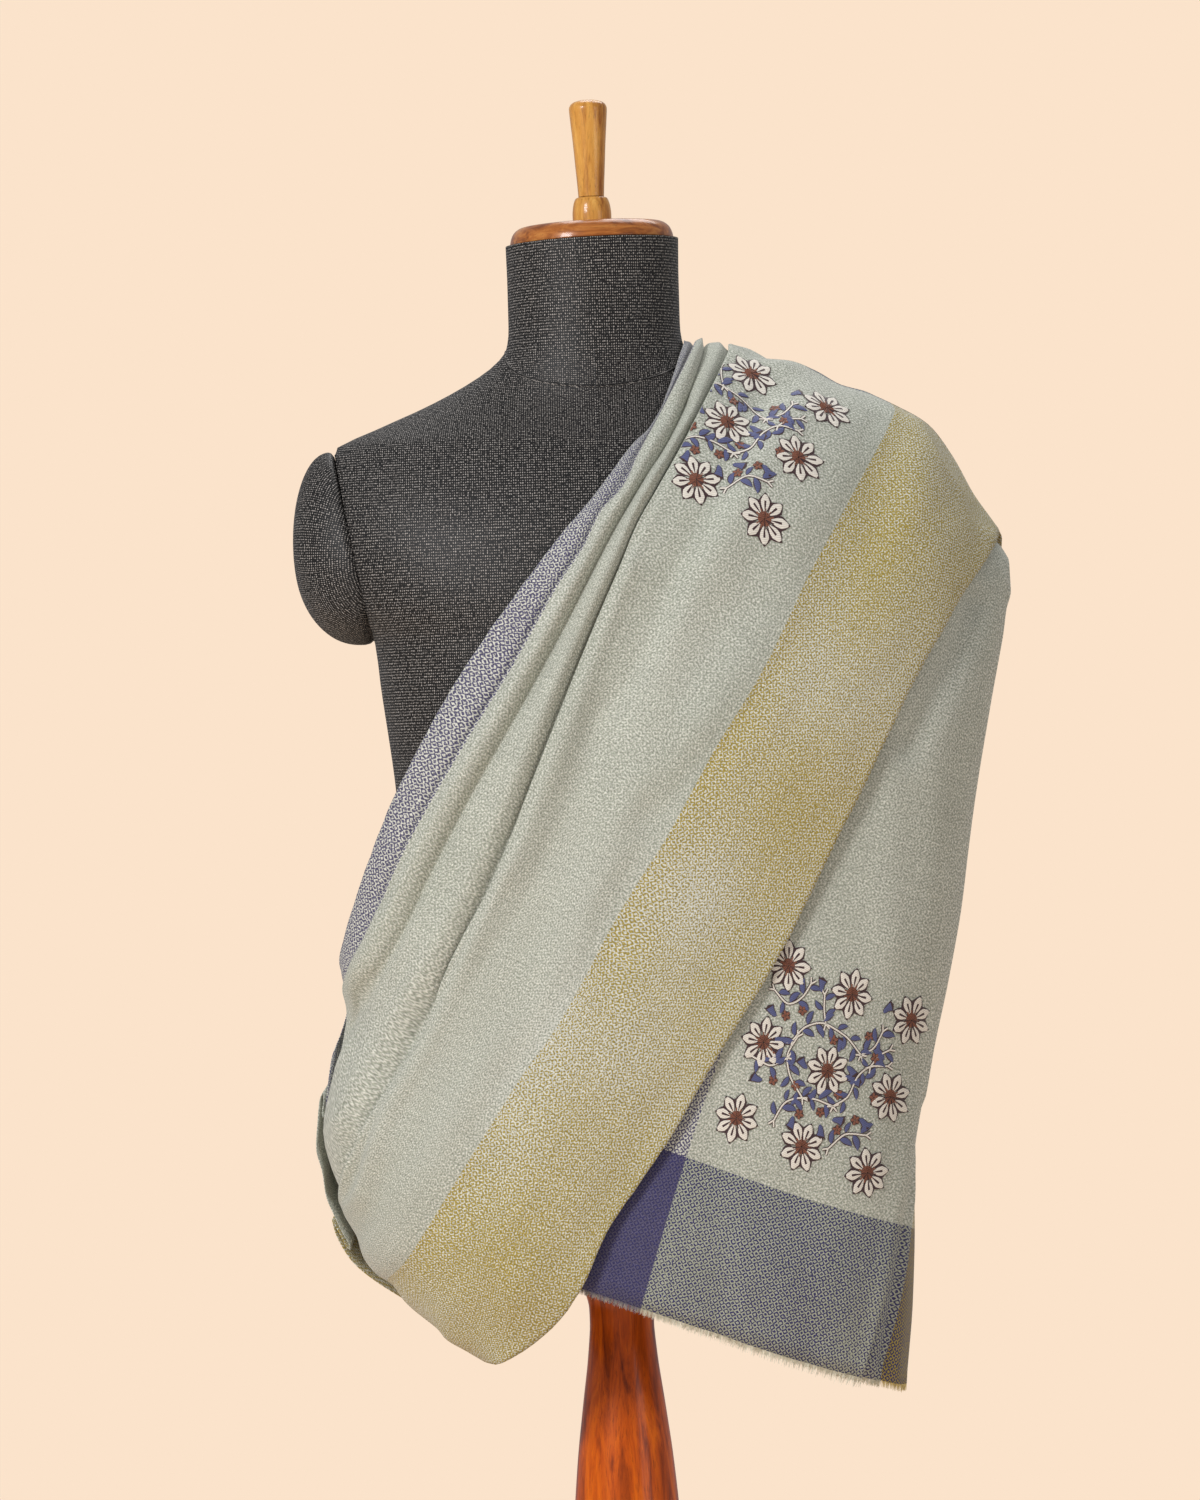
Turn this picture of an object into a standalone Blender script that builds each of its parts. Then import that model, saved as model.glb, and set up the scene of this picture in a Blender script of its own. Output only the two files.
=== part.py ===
"""Pashmina shawl draped over one shoulder of a limbless dress form on a turned stand.

Metres, +Z up, the form faces -Y. The origin is the centre of the stand's underside.
The cloth is one woven length. It hangs from the +X shoulder in front, folded in five passes,
goes over the shoulder, down across the back and round the -X hip, rises across the chest and
ends behind the same shoulder. Every stretch is a wall laid over one resting surface, which
spans the form like a tent, and each column of its fold table says how far it stands off that.
"""
import math
from collections import namedtuple

import bmesh
import bpy
import numpy as np

MM = 0.001
TURN = 2 * math.pi

# ---- driving sizes, in metres ------------------------------------------------------------
CLOTH_WALL = 0.0012
SEAM_GAP = 0.0003
FORM_CLEARANCE = 0.0008
BASE_RADIUS = 0.170
BASE_HEIGHT = 0.028
FORM_BOTTOM = 0.771
NECK_TOP = 1.4585
NECK_TILT = math.radians(1.5)
HANDLE_TILT = math.radians(0.6)
HANDLE_ASIDE = 0.0008
ARM_SEAM_TOP = (0.1845, 1.318)
ARM_SEAM_FOOT = (0.1590, 1.181)
ARM_CAP_REACH = 0.2145
ARM_CAP_POWER = 2.7
ARM_CAP_POWER_ABOVE = 2.1
ARM_CAP_POWER_BELOW = 2.45
ARM_CAP_NARROWING = 0.2
ARM_CAP_SWELL = 0.05
ARM_CAP_RISE = 0.004
ARM_CAP_INSET = 0.0012
ARM_CAP_POINTS = 24
ARM_CAP_RINGS = 5
ARM_CAP_END = 0.97
ARM_FLAT_LEVEL = 1.228
ARM_CUTTER = (0.26, 0.14, 0.03)
NECK_LEAN_FROM = 1.40
ARCH_FOOT = 1.10
ARCH_RISE_POWER = 1.5
ARCH_ROOF_POWER = 0.6
RIGHT_POWER = 2.8
LEFT_POWER = 2.2
# where cloth leaves the form, the corner between them is rounded over this depth
FILLET = 0.008
FILLET_FULL_DEPTH = 0.03
# steps used to measure the resting surface's normals
NORMAL_TURN = 0.02
NORMAL_STEP = 0.002
# heights between which the cloth comes to follow the resting surface exactly
HUG_NONE = 0.73
HUG_FULL = 0.78
# share of the reach where a point's angle is read from its depth too, and is so wholly
SIDE_FROM = 0.75
SIDE_FULL = 0.90
ROUND_STEPS = 24
FORM_POINTS = 32
FRINGE_LENGTH = 0.0055
FRINGE_PITCH = 0.0042
FRINGE_TAPER = 0.4
FRINGE_STRIP = 0.0012
FRINGE_HALF = 0.4 * CLOTH_WALL
FRINGE_GAP = 0.0006

# ---- the form: a row for each level, lengths in mm ---------------------------------------
Level = namedtuple("Level", "height half_width front back power")
FORM_LEVELS = (
    Level(771, 142, 96, 99, 2.3),
    Level(776, 151, 104, 107, 2.3),
    Level(805, 157, 109, 113, 2.3),
    Level(850, 159, 111, 116, 2.3),
    Level(920, 151, 105, 105, 2.3),
    Level(1000, 142, 98, 91, 2.3),
    Level(1083, 148, 104, 94, 2.3),
    Level(1150, 156, 111, 101, 2.35),
    Level(1181, 159.5, 112, 104, 2.4),
    Level(1205, 176, 112, 106, 2.4),
    Level(1250, 194, 107, 106, 2.3),
    Level(1280, 197, 97, 100, 2.15),
    Level(1300, 194, 87, 91, 2.0),
    Level(1318, 184.5, 77, 81, 1.85),
    Level(1332.5, 153, 70, 74, 1.7),
    Level(1345, 123, 64, 68, 1.7),
    Level(1355, 102, 61, 65, 1.7),
    Level(1367, 81, 59, 62, 1.75),
    Level(1376, 69, 58, 61, 1.9),
    Level(1385, 62, 57.5, 60, 2.0),
    Level(1400, 60, 57, 59, 2.0),
    Level(1430, 60, 57, 58.5, 2.0),
    Level(1458.5, 60.5, 58, 59, 2.0),
)

# ---- the resting surface of the cloth, in mm ---------------------------------------------
Ridge = namedtuple("Ridge", "x height")
SHOULDER_RIDGE = (
    Ridge(-300, 1387),
    Ridge(61, 1387),
    Ridge(69, 1380.5),
    Ridge(81, 1377),
    Ridge(102, 1372),
    Ridge(120, 1364),
    Ridge(138, 1347.5),
    Ridge(172, 1331),
    Ridge(185, 1326),
    Ridge(200, 1322.5),
    Ridge(213, 1313),
    Ridge(230, 1284.5),
    Ridge(248, 1254.5),
    Ridge(260, 1241),
    Ridge(268, 1232.5),
    Ridge(276, 1219),
    Ridge(300, 1180),
)
Reach = namedtuple("Reach", "height left right")
CLOTH_REACH = (
    Reach(640, 28, 194),
    Reach(660, 52, 196),
    Reach(676, 74, 197.5),
    Reach(686, 88.5, 198.5),
    Reach(700, 110.5, 199.5),
    Reach(719, 136, 202),
    Reach(735, 152, 203),
    Reach(753, 169, 204),
    Reach(766, 176, 204.5),
    Reach(780, 181, 204.5),
    Reach(795, 185, 204.5),
    Reach(815, 191, 204.5),
    Reach(834, 196, 204),
    Reach(855, 193, 207),
    Reach(881, 189, 210),
    Reach(903, 184, 214.5),
    Reach(918, 177.5, 218),
    Reach(932, 177, 221.5),
    Reach(946, 184, 225),
    Reach(955, 188, 227),
    Reach(966, 190, 229.5),
    Reach(1027, 191, 239.5),
    Reach(1100, 192, 252),
    Reach(1176, 198, 267.5),
    Reach(1200, 199, 271.5),
    Reach(1214, 199, 276),
    Reach(1235, 200, 281),
    Reach(1290, 200, 283),
    Reach(1400, 200, 283),
)
Depth = namedtuple("Depth", "height front back")
CLOTH_DEPTH = (
    Depth(640, 84, 84),
    Depth(676, 96, 96),
    Depth(705, 106, 108),
    Depth(740, 113, 118),
    Depth(800, 118, 125),
    Depth(900, 118, 124),
    Depth(1000, 116, 116),
    Depth(1100, 117, 112),
    Depth(1200, 118, 112),
    Depth(1400, 118, 114),
)

# ---- lines along the front sash, from the shoulder ridge to the hip: (x, height) in mm ----
Station = namedtuple("Station", "share edge roll valley pleat stripe selvedge")
SASH_LINES = (
    Station(0.0, (62, 1387), (67, 1382), (75, 1378), (92, 1370), (192, 1326), (264, 1238)),
    Station(0.125, (39.5, 1329), (41.5, 1328.5), (53, 1321.5), (59.5, 1312.5), (155, 1265), (228.5, 1181)),
    Station(0.19, (17.5, 1305), (27, 1302), (34, 1290), (37, 1274), (132.5, 1226.5), (206, 1143)),
    Station(0.25, (-2, 1280), (11, 1271.5), (15, 1261.5), (17, 1239), (114, 1189.5), (187, 1106.5)),
    Station(0.3125, (-22.5, 1256), (-8.5, 1245.5), (-3, 1231), (1.5, 1200.5), (94, 1151.5), (168, 1068)),
    Station(0.375, (-42.5, 1231.5), (-27, 1219.5), (-19, 1200), (-16, 1163), (70, 1115.5), (148, 1030.5)),
    Station(0.5, (-81.5, 1181), (-60, 1164), (-52, 1140.5), (-47.5, 1088), (26.5, 1040), (109.5, 956)),
    Station(0.625, (-117, 1127), (-95, 1109.5), (-88, 1081.5), (-79.5, 1012), (-18.5, 964), (64, 885.5)),
    Station(0.75, (-147.5, 1071), (-128, 1054), (-121, 1021), (-115, 937.5), (-66.5, 891.5), (19, 814)),
    Station(0.875, (-171.5, 1013), (-156.5, 996.5), (-152.5, 961.5), (-155.5, 868), (-114, 819.5),
            (-23, 741)),
    Station(0.94, (-183, 981), (-171, 965), (-172, 930), (-178, 828), (-139, 780), (-58, 698)),
    Station(0.97, (-188, 965), (-180, 948), (-177, 914), (-184, 807), (-153, 757), (-78, 687)),
)
# for the same six lines: height at the hip, mm that it drops in the wrap, and degrees wrapped
HIP_HEIGHTS = (952, 934, 900, 792, 742, 688)
WRAP_DROP = (26, 24, 21, 14, 8, -5)
WRAP_ANGLES = (34, 34, 32, 27, 25, 24)
SASH_GUIDES = (0, 1, 2, 2.5, 3, 3.33, 3.67, 4, 4.33, 4.67, 5)
BACK_GUIDES = (0, 0.14, 0.28, 0.42, 0.57, 0.71, 0.86, 1)

# ---- fold tables: a row for each column of the wall, across the width ---------------------
# line: place between the lines above, 0 (edge) to 5 (selvedge); lift: mm off the resting
# surface or off the hanging end where that lies beneath; fade: share of the lift at the hip
Fold = namedtuple("Fold", "line lift fade")
SASH_FOLDS = (
    Fold(0.0, 1.2, 1.0),
    Fold(0.5, 3.4, 1.0),
    Fold(0.95, 2.9, 1.0),
    Fold(1.22, 2.5, 1.0),
    Fold(1.42, 2.5, 1.0),
    Fold(1.5, 3.9, 1.0),
    Fold(1.42, 5.2, 1.0),
    Fold(1.2, 5.3, 1.0),
    Fold(1.04, 5.8, 1.0),
    Fold(0.97, 7.4, 1.0),
    Fold(1.08, 9.2, 1.0),
    Fold(1.45, 10.6, 0.9),
    Fold(1.8, 8.0, 0.9),
    Fold(2.0, 4.4, 1.3),
    Fold(2.2, 8.4, 0.9),
    Fold(2.55, 10.4, 0.9),
    Fold(2.9, 7.2, 0.9),
    Fold(3.02, 5.2, 1.0),
    Fold(3.1, 4.4, 1.0),
    Fold(3.17, 4.2, 1.0),
    Fold(3.2, 5.6, 1.0),
    Fold(3.17, 7.0, 1.0),
    Fold(3.09, 7.3, 1.0),
    Fold(3.015, 8.2, 1.0),
    Fold(2.985, 9.9, 0.95),
    Fold(3.02, 10.9, 0.9),
    Fold(3.1, 10.2, 0.9),
    Fold(3.2, 8.8, 1.0),
    Fold(3.33, 4.4, 1.7),
    Fold(3.5, 2.8, 2.2),
    Fold(3.72, 3.6, 2.4),
    Fold(3.9, 4.2, 2.1),
    Fold(4.0, 3.6, 2.2),
    Fold(4.12, 2.8, 2.0),
    Fold(4.3, 4.6, 1.9),
    Fold(4.5, 6.0, 1.5),
    Fold(4.7, 5.6, 1.3),
    Fold(4.88, 4.2, 1.5),
    Fold(5.0, 3.4, 1.7),
)

# back stretch: its upper edge and selvedge, from the ridge to the hip, in mm
BackStation = namedtuple("BackStation", "share edge selvedge")
BACK_LINES = (
    BackStation(0.0, (120, 1352), (262, 1242)),
    BackStation(0.2, (82, 1262), (210, 1112)),
    BackStation(0.4, (10, 1190), (130, 988)),
    BackStation(0.6, (-66, 1112), (54, 872)),
    BackStation(0.8, (-138, 1022), (-22, 758)),
)
BACK_HIP_HEIGHTS = (930, 682)
# how far behind the hip's outline its folded front edge lies: share across, degrees
BACK_START_ANGLES = ((0.0, 17), (0.3, 6.5), (0.5, 4), (0.75, 6), (1.0, 10))
# across: 0 (edge) to 1 (selvedge); shoulder, mid, hip: lift in mm at those places
BackFold = namedtuple("BackFold", "across shoulder mid hip")
BACK_FOLDS = (
    BackFold(0.00, 2.4, 4.4, 17.0),
    BackFold(0.08, 2.4, 5.2, 17.4),
    BackFold(0.16, 2.4, 4.4, 17.0),
    BackFold(0.22, 2.4, 3.0, 15.6),
    BackFold(0.27, 2.4, 2.8, 14.8),
    BackFold(0.31, 2.4, 2.6, 14.4),
    BackFold(0.32, 3.6, 4.1, 15.8),
    BackFold(0.31, 4.9, 5.6, 16.8),
    BackFold(0.27, 5.1, 6.2, 17.2),
    BackFold(0.255, 6.7, 8.0, 18.6),
    BackFold(0.27, 8.2, 9.8, 20.0),
    BackFold(0.33, 8.2, 10.6, 19.2),
    BackFold(0.40, 8.2, 8.4, 18.6),
    BackFold(0.47, 8.2, 6.8, 19.5),
    BackFold(0.53, 8.2, 8.2, 22.5),
    BackFold(0.58, 8.2, 8.4, 21.2),
    BackFold(0.63, 8.2, 7.8, 19.6),
    BackFold(0.67, 8.2, 7.6, 19.2),
    BackFold(0.68, 9.4, 9.1, 20.6),
    BackFold(0.67, 10.6, 10.6, 22.0),
    BackFold(0.63, 10.8, 11.2, 22.4),
    BackFold(0.595, 12.2, 13.0, 24.0),
    BackFold(0.63, 13.6, 14.6, 25.4),
    BackFold(0.70, 13.4, 14.0, 25.0),
    BackFold(0.77, 13.4, 10.5, 22.0),
    BackFold(0.84, 13.4, 8.6, 18.5),
    BackFold(0.90, 13.4, 9.4, 16.5),
    BackFold(0.95, 13.4, 8.6, 15.0),
    BackFold(1.00, 13.4, 7.0, 13.6),
)

# hanging end: left edge and the three right folds, share 0 at the ridge to 1 at the hem, mm
HangStation = namedtuple("HangStation", "share left inset_1 inset_2 inset_3")
HANG_LINES = (
    HangStation(0.00, 152, 1.0, 3.0, 5.0),
    HangStation(0.08, 122, 1.0, 2.5, 4.0),
    HangStation(0.15, 102, 1.0, 2.0, 3.0),
    HangStation(0.30, 66, 1.0, 1.5, 2.0),
    HangStation(0.50, 26, 1.5, 1.0, 1.0),
    HangStation(0.65, 3, 3.0, 1.0, 0.5),
    HangStation(0.75, -12, 11.0, 3.0, 0.3),
    HangStation(0.87, -31, 26.0, 12.0, 0.3),
    HangStation(1.00, -51, 39.0, 24.0, 0.3),
)
HANG_TOP_RIGHT = 275
HEM_HEIGHT = 729
HEM_SLOPE = -0.374
HANG_LEFT_INSET = (0, 5, 3, 7, 5)
HANG_COLUMNS = 7
COLUMN_CROWDING = 1.8
HANG_ROWS = 17
HANG_ROW_POWER = 1.8
# the passes' places in the stack, in mm: the first one's lift, the room kept above the last
PASS_FIRST_LIFT = 1.5
PASS_TOP_ROOM = 1.8
PASS_SPACES = 4.4
# share of the length in which the folds swing out from the ridge to the full reach
HANG_SWING = 0.08
HANG_HEM_LEVEL = 0.66
SASH_ROWS = 26
# shares of the length between which a fold's lift changes to its lift at the hip
SASH_FADE = (0.55, 0.84)
BACK_SPREAD = (0.20, 0.45)
BACK_GATHER = (0.56, 0.82)
RIDGE_EASE = 0.4
# the sash's path runs on past the hip's outline by this share of itself
WRAP_SHARE = 1.1
PATH_POINTS = 300
BACK_ROWS = 21
END_ROWS = 7
ROW_CROWDING = 1.3
NORMAL_EASING = 6
END_FALL = 0.128
END_REACH = 0.20
END_INSET = 0.004
END_SPREAD = 0.03
END_FRINGE_COLUMNS = 13
# thickness of the hanging end's stack of passes: at the shoulder and from the chest down
STACK_SHOULDER = 15.5
STACK_CHEST = 12.5
STACK_EASE = 2.1
STACK_BEHIND_EDGE = 7.0
STACK_BEHIND = 19.0
STACK_BEHIND_SPREAD = 0.09
STACK_MARGIN = 0.018
# below the hem the sash hangs free: the heights between which its stand-off eases, and the
# share of it that is left
FREE_HEIGHTS = (0.69, 0.75)
FREE_SHARE = 0.35
# heights between which the stack and its ramp change from shoulder to chest
STACK_CHANGE = (1.12, 1.30)
RAMP_CHANGE = (1.33, 1.00)
# how far past the stack's left edge the sash takes to come down to the form
STACK_RAMP_SHOULDER = 0.024
STACK_RAMP_HIP = 0.050


# ---- helpers -----------------------------------------------------------------------------
def curve_through(knots, values):
    """A smooth curve with no overshoot through (knot, value) pairs, as a function."""
    k = np.asarray(knots, float)
    v = np.asarray(values, float)
    step = np.diff(k)
    rise = np.diff(v) / step
    slope = np.empty_like(v)
    slope[0], slope[-1] = rise[0], rise[-1]
    before, after = rise[:-1], rise[1:]
    same = before * after > 0
    weight_a = 2 * step[1:] + step[:-1]
    weight_b = step[1:] + 2 * step[:-1]
    safe_before = np.where(same, before, 1.0)
    safe_after = np.where(same, after, 1.0)
    mean = (weight_a + weight_b) / (weight_a / safe_before + weight_b / safe_after)
    slope[1:-1] = np.where(same, mean, 0.0)

    def at(x):
        x = np.clip(x, k[0], k[-1])
        i = np.clip(np.searchsorted(k, x, side="right") - 1, 0, len(step) - 1)
        t = (x - k[i]) / step[i]
        start = (1 + 2 * t) * (1 - t) ** 2 * v[i] + t * (1 - t) ** 2 * step[i] * slope[i]
        end = t * t * (3 - 2 * t) * v[i + 1] + t * t * (t - 1) * step[i] * slope[i + 1]
        return start + end

    return at


def table_curve(rows, key, column):
    """The curve of one column of a table of mm against another, in metres."""
    knots = [getattr(row, key) * MM for row in rows]
    return curve_through(knots, [getattr(row, column) * MM for row in rows])


def eased_run():
    """Shares from 0 to 1, closest together at the ridge, where the surface turns over."""
    return 1 - np.cos(np.linspace(0, math.pi / 2, PATH_POINTS))


def smoothstep(low, high, x):
    t = np.clip((x - low) / (high - low), 0, 1)
    return t * t * (3 - 2 * t)


FORM_HALF = table_curve(FORM_LEVELS, "height", "half_width")
FORM_FRONT = table_curve(FORM_LEVELS, "height", "front")
FORM_BACK = table_curve(FORM_LEVELS, "height", "back")
FORM_POWER = curve_through([r.height * MM for r in FORM_LEVELS], [r.power for r in FORM_LEVELS])
RIDGE_HEIGHT = table_curve(SHOULDER_RIDGE, "x", "height")
REACH_LEFT = table_curve(CLOTH_REACH, "height", "left")
REACH_RIGHT = table_curve(CLOTH_REACH, "height", "right")
DEPTH_FRONT = table_curve(CLOTH_DEPTH, "height", "front")
DEPTH_BACK = table_curve(CLOTH_DEPTH, "height", "back")


def form_depth(x, z, behind, grow=0.0):
    """How far the form, grown by a clearance, reaches in front of or behind its middle."""
    level = z - grow
    half = FORM_HALF(level) + grow
    deep = np.where(behind, FORM_BACK(level), FORM_FRONT(level)) + grow
    power = FORM_POWER(level)
    share = np.clip(np.abs(x) / half, 0, 1)
    return deep * (1 - share ** power) ** (1 / power)


def seam_x(z):
    """The tilted plane where an arm cap meets the torso."""
    (top_x, top_z), (foot_x, foot_z) = ARM_SEAM_TOP, ARM_SEAM_FOOT
    return foot_x + (top_x - foot_x) * (z - foot_z) / (top_z - foot_z)


def cap_section(out, above):
    """Size, depth and height factors and rise of an arm cap at a share of its reach."""
    size = (1 - out ** ARM_CAP_POWER) ** (1 / ARM_CAP_POWER)
    power = np.where(above, ARM_CAP_POWER_ABOVE, ARM_CAP_POWER_BELOW)
    swell = 1 + np.where(above, 0, ARM_CAP_SWELL) * np.sin(math.pi * out)
    tall = (1 - out ** power) ** (1 / power) * swell
    return size, size * (1 - ARM_CAP_NARROWING * out), tall, ARM_CAP_RISE * out


def cap_depth(x, z, behind, grow):
    """How far an arm cap, grown by a clearance, reaches in front of or behind its middle."""
    middle = (ARM_SEAM_TOP[1] + ARM_SEAM_FOOT[1]) / 2
    half_height = (ARM_SEAM_TOP[1] - ARM_SEAM_FOOT[1]) / 2
    out = np.clip((np.abs(x) - seam_x(z)) / (ARM_CAP_REACH + grow - seam_x(z)), 0, 0.99)
    _, narrow, tall, rise = cap_section(out, z > middle + ARM_CAP_RISE * out)
    level = middle + (z - rise - middle) / tall
    deep = form_depth(seam_x(level), level, behind) * narrow + grow
    return np.where((np.abs(level - middle) < half_height) & (out > 0) & (out < 0.99), deep, 0.0)


def ring_angle(x, z):
    """Angle round the resting surface at height z, 0 on +X and a half turn on -X."""
    half = np.where(x >= 0, REACH_RIGHT(z), REACH_LEFT(z))
    power = np.where(x >= 0, RIGHT_POWER, LEFT_POWER)
    share = np.clip(np.abs(x) / half, 0, 1)
    return np.arccos(np.sign(x) * share ** (power / 2))


def shoulder_arch(x, z):
    """1 from the chest down, falling to 0 on the ridge of the shoulder."""
    rise = (z - ARCH_FOOT) / (RIDGE_HEIGHT(x) - ARCH_FOOT)
    return (1 - np.clip(rise, 0, 1) ** ARCH_RISE_POWER) ** ARCH_ROOF_POWER


def resting_point(angle, z):
    """Points of the resting surface: 0 to half a turn in front, on to a full turn behind."""
    cosine, sine = np.cos(angle), np.sin(angle)
    behind = sine < 0
    right = cosine >= 0
    half = np.where(right, REACH_RIGHT(z), REACH_LEFT(z))
    power = np.where(right, RIGHT_POWER, LEFT_POWER)
    x = half * np.sign(cosine) * np.abs(cosine) ** (2 / power)
    span = np.where(behind, DEPTH_BACK(z), DEPTH_FRONT(z))
    tent = span * np.abs(sine) ** (2 / power) * shoulder_arch(x, z)
    form = form_depth(x, z, behind, FORM_CLEARANCE)
    form = np.maximum(form, cap_depth(x, z, behind, FORM_CLEARANCE))
    blend = FILLET * np.clip(tent / FILLET_FULL_DEPTH, 0, 1)
    close = np.clip(blend - np.abs(tent - form), 0, None)
    deep = np.maximum(tent, form) + close ** 2 / (4 * np.maximum(blend, 1e-6))
    y = np.where(behind, deep, -deep)
    return np.stack([x, y, z * np.ones_like(x)], axis=-1)


def stations(path, count, fall=None):
    """Points along a dense path, closest at its start; all of it or its first length fall."""
    steps = np.linalg.norm(np.diff(path, axis=0), axis=1)
    run = np.concatenate([[0], np.cumsum(steps)])
    wanted = (run[-1] if fall is None else fall) * np.linspace(0, 1, count) ** ROW_CROWDING
    return np.stack([np.interp(wanted, run, path[:, k]) for k in range(3)], axis=1)


def across(grid, knots, places):
    """Smoothly interpolated columns of a grid of guide lines, at fractional line numbers."""
    rows = []
    for line in grid:
        curves = [curve_through(knots, line[:, k]) for k in range(3)]
        rows.append(np.stack([curve(places) for curve in curves], axis=1))
    return np.array(rows)


def surface_angle(points):
    """The ring angle of points on or near the resting surface, in front or behind."""
    x, y, z = points[..., 0], points[..., 1], points[..., 2]
    half = np.where(x >= 0, REACH_RIGHT(z), REACH_LEFT(z))
    power = np.where(x >= 0, RIGHT_POWER, LEFT_POWER)
    span = np.where(y > 0, DEPTH_BACK(z), DEPTH_FRONT(z)) * np.maximum(shoulder_arch(x, z), 0.1)
    depth_share = np.abs(y / span) ** (power / 2)
    by_both = np.arctan2(depth_share, np.sign(x) * np.abs(x / half) ** (power / 2))
    side = smoothstep(SIDE_FROM, SIDE_FULL, np.abs(x / half))
    angle = ring_angle(x, z) * (1 - side) + by_both * side
    return np.where(y > 0, TURN - angle, angle)


def outward(angle, z):
    """Outward unit normals of the resting surface."""
    side = resting_point(angle - NORMAL_TURN, z) - resting_point(angle + NORMAL_TURN, z)
    down = resting_point(angle, z - NORMAL_STEP) - resting_point(angle, z + NORMAL_STEP)
    normal = np.cross(down, side)
    return normal / np.linalg.norm(normal, axis=-1, keepdims=True)


def ridge_normal(x):
    """Unit normals of the shoulder ridge in its own plane."""
    step = 2 * NORMAL_STEP
    slope = (RIDGE_HEIGHT(x + step) - RIDGE_HEIGHT(x - step)) / (2 * step)
    normal = np.stack([-slope, np.zeros_like(x), np.ones_like(x)], axis=-1)
    return normal / np.linalg.norm(normal, axis=-1, keepdims=True)


def eased(rows):
    """Unit vectors of a grid averaged with their neighbours along and across."""
    for _ in range(NORMAL_EASING):
        padded = np.pad(rows, ((1, 1), (1, 1), (0, 0)), mode="edge")
        near = padded[:-2, 1:-1] + padded[2:, 1:-1] + padded[1:-1, :-2] + padded[1:-1, 2:]
        rows = np.concatenate([rows[:1], (rows + near)[1:] / 5])
        rows = rows / np.linalg.norm(rows, axis=-1, keepdims=True)
    return rows


def frames(lines, knots, places):
    """Points of the resting surface, and eased unit normals, at fractional line numbers."""
    guide_normals = outward(surface_angle(lines), lines[:, :, 2])
    guide_normals[0] = ridge_normal(lines[0, :, 0])
    normal = across(eased(guide_normals), knots, places)
    normal /= np.linalg.norm(normal, axis=-1, keepdims=True)
    near = across(lines, knots, places)
    hug = smoothstep(HUG_NONE, HUG_FULL, near[:, :, 2:])
    hug[0] = 0.0
    base = near + (resting_point(surface_angle(near), near[:, :, 2]) - near) * hug
    return base, normal


def between(row, guide):
    """The value of a row of six line values at a fractional line number."""
    low = min(int(guide), len(row) - 2)
    first, second = np.array(row[low], float), np.array(row[low + 1], float)
    return first + (second - first) * (guide - low)


def hanging_left_edge():
    """Heights from low to high, and x, of the hanging end's left edge."""
    shares = np.array([row.share for row in HANG_LINES])
    left = np.array([row.left * MM for row in HANG_LINES])
    top = RIDGE_HEIGHT(left[0])
    hem = HEM_HEIGHT * MM + HEM_SLOPE * left[-1]
    return (top + (hem - top) * shares)[::-1], left[::-1]


def stack_height(z):
    """Thickness in mm of the hanging end's stack at a height."""
    return STACK_CHEST + (STACK_SHOULDER - STACK_CHEST) * smoothstep(*STACK_CHANGE, z)


def beside_stack(x, z, edge_z, edge_x):
    """1 over the passes beneath, easing off to 0 past their left edge."""
    growth = STACK_RAMP_HIP - STACK_RAMP_SHOULDER
    ramp = STACK_RAMP_SHOULDER + growth * smoothstep(*RAMP_CHANGE, z)
    beside = x - np.interp(z, edge_z, edge_x) + STACK_MARGIN
    return smoothstep(-ramp, 0.0, beside)


# ---- cloth stretches as grids of points, rows along the length ----------------------------
def sash_lines():
    """Guide lines of the sash from the ridge round the hip, as rows of 3-D points."""
    shares = [row.share for row in SASH_LINES] + [1.0, WRAP_SHARE]
    dense = eased_run() * WRAP_SHARE
    lines = []
    for guide in SASH_GUIDES:
        spots = np.array([between(row[1:], guide) for row in SASH_LINES]) * MM
        hip = between(HIP_HEIGHTS, guide) * MM
        drop = between(WRAP_DROP, guide) * MM
        turn = math.pi + math.radians(between(WRAP_ANGLES, guide))
        angles = np.append(ring_angle(spots[:, 0], spots[:, 1]), [math.pi, turn])
        heights = np.append(spots[:, 1], [hip, hip - drop])
        heights[0] = RIDGE_HEIGHT(spots[0, 0])
        angle, height = (curve_through(shares, values)(dense) for values in (angles, heights))
        path = resting_point(angle, height)
        path[0, 1] = -SEAM_GAP / 2
        lines.append(stations(path, SASH_ROWS))
    return np.stack(lines, axis=1)


def shoulder_end_lines():
    """The guide lines of the sash carried on over the ridge and down behind the shoulder."""
    lines = []
    for guide in SASH_GUIDES:
        x = between(SASH_LINES[0][1:], guide)[0] * MM
        heights = RIDGE_HEIGHT(x) - END_REACH * eased_run()
        inside = REACH_RIGHT(heights) - END_INSET - END_SPREAD * (SASH_GUIDES[-1] - guide)
        sideways = np.minimum(x * np.ones_like(heights), inside)
        sideways[0] = x
        path = resting_point(TURN - ring_angle(sideways, heights), heights)
        path[0, 1] = SEAM_GAP / 2
        lines.append(stations(path, END_ROWS, END_FALL))
    return np.stack(lines, axis=1)


def lifted(base, normal, lifts):
    """Points that stand off the resting surface by rows x columns of lifts in mm."""
    return base + normal * lifts[:, :, None] * MM


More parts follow.
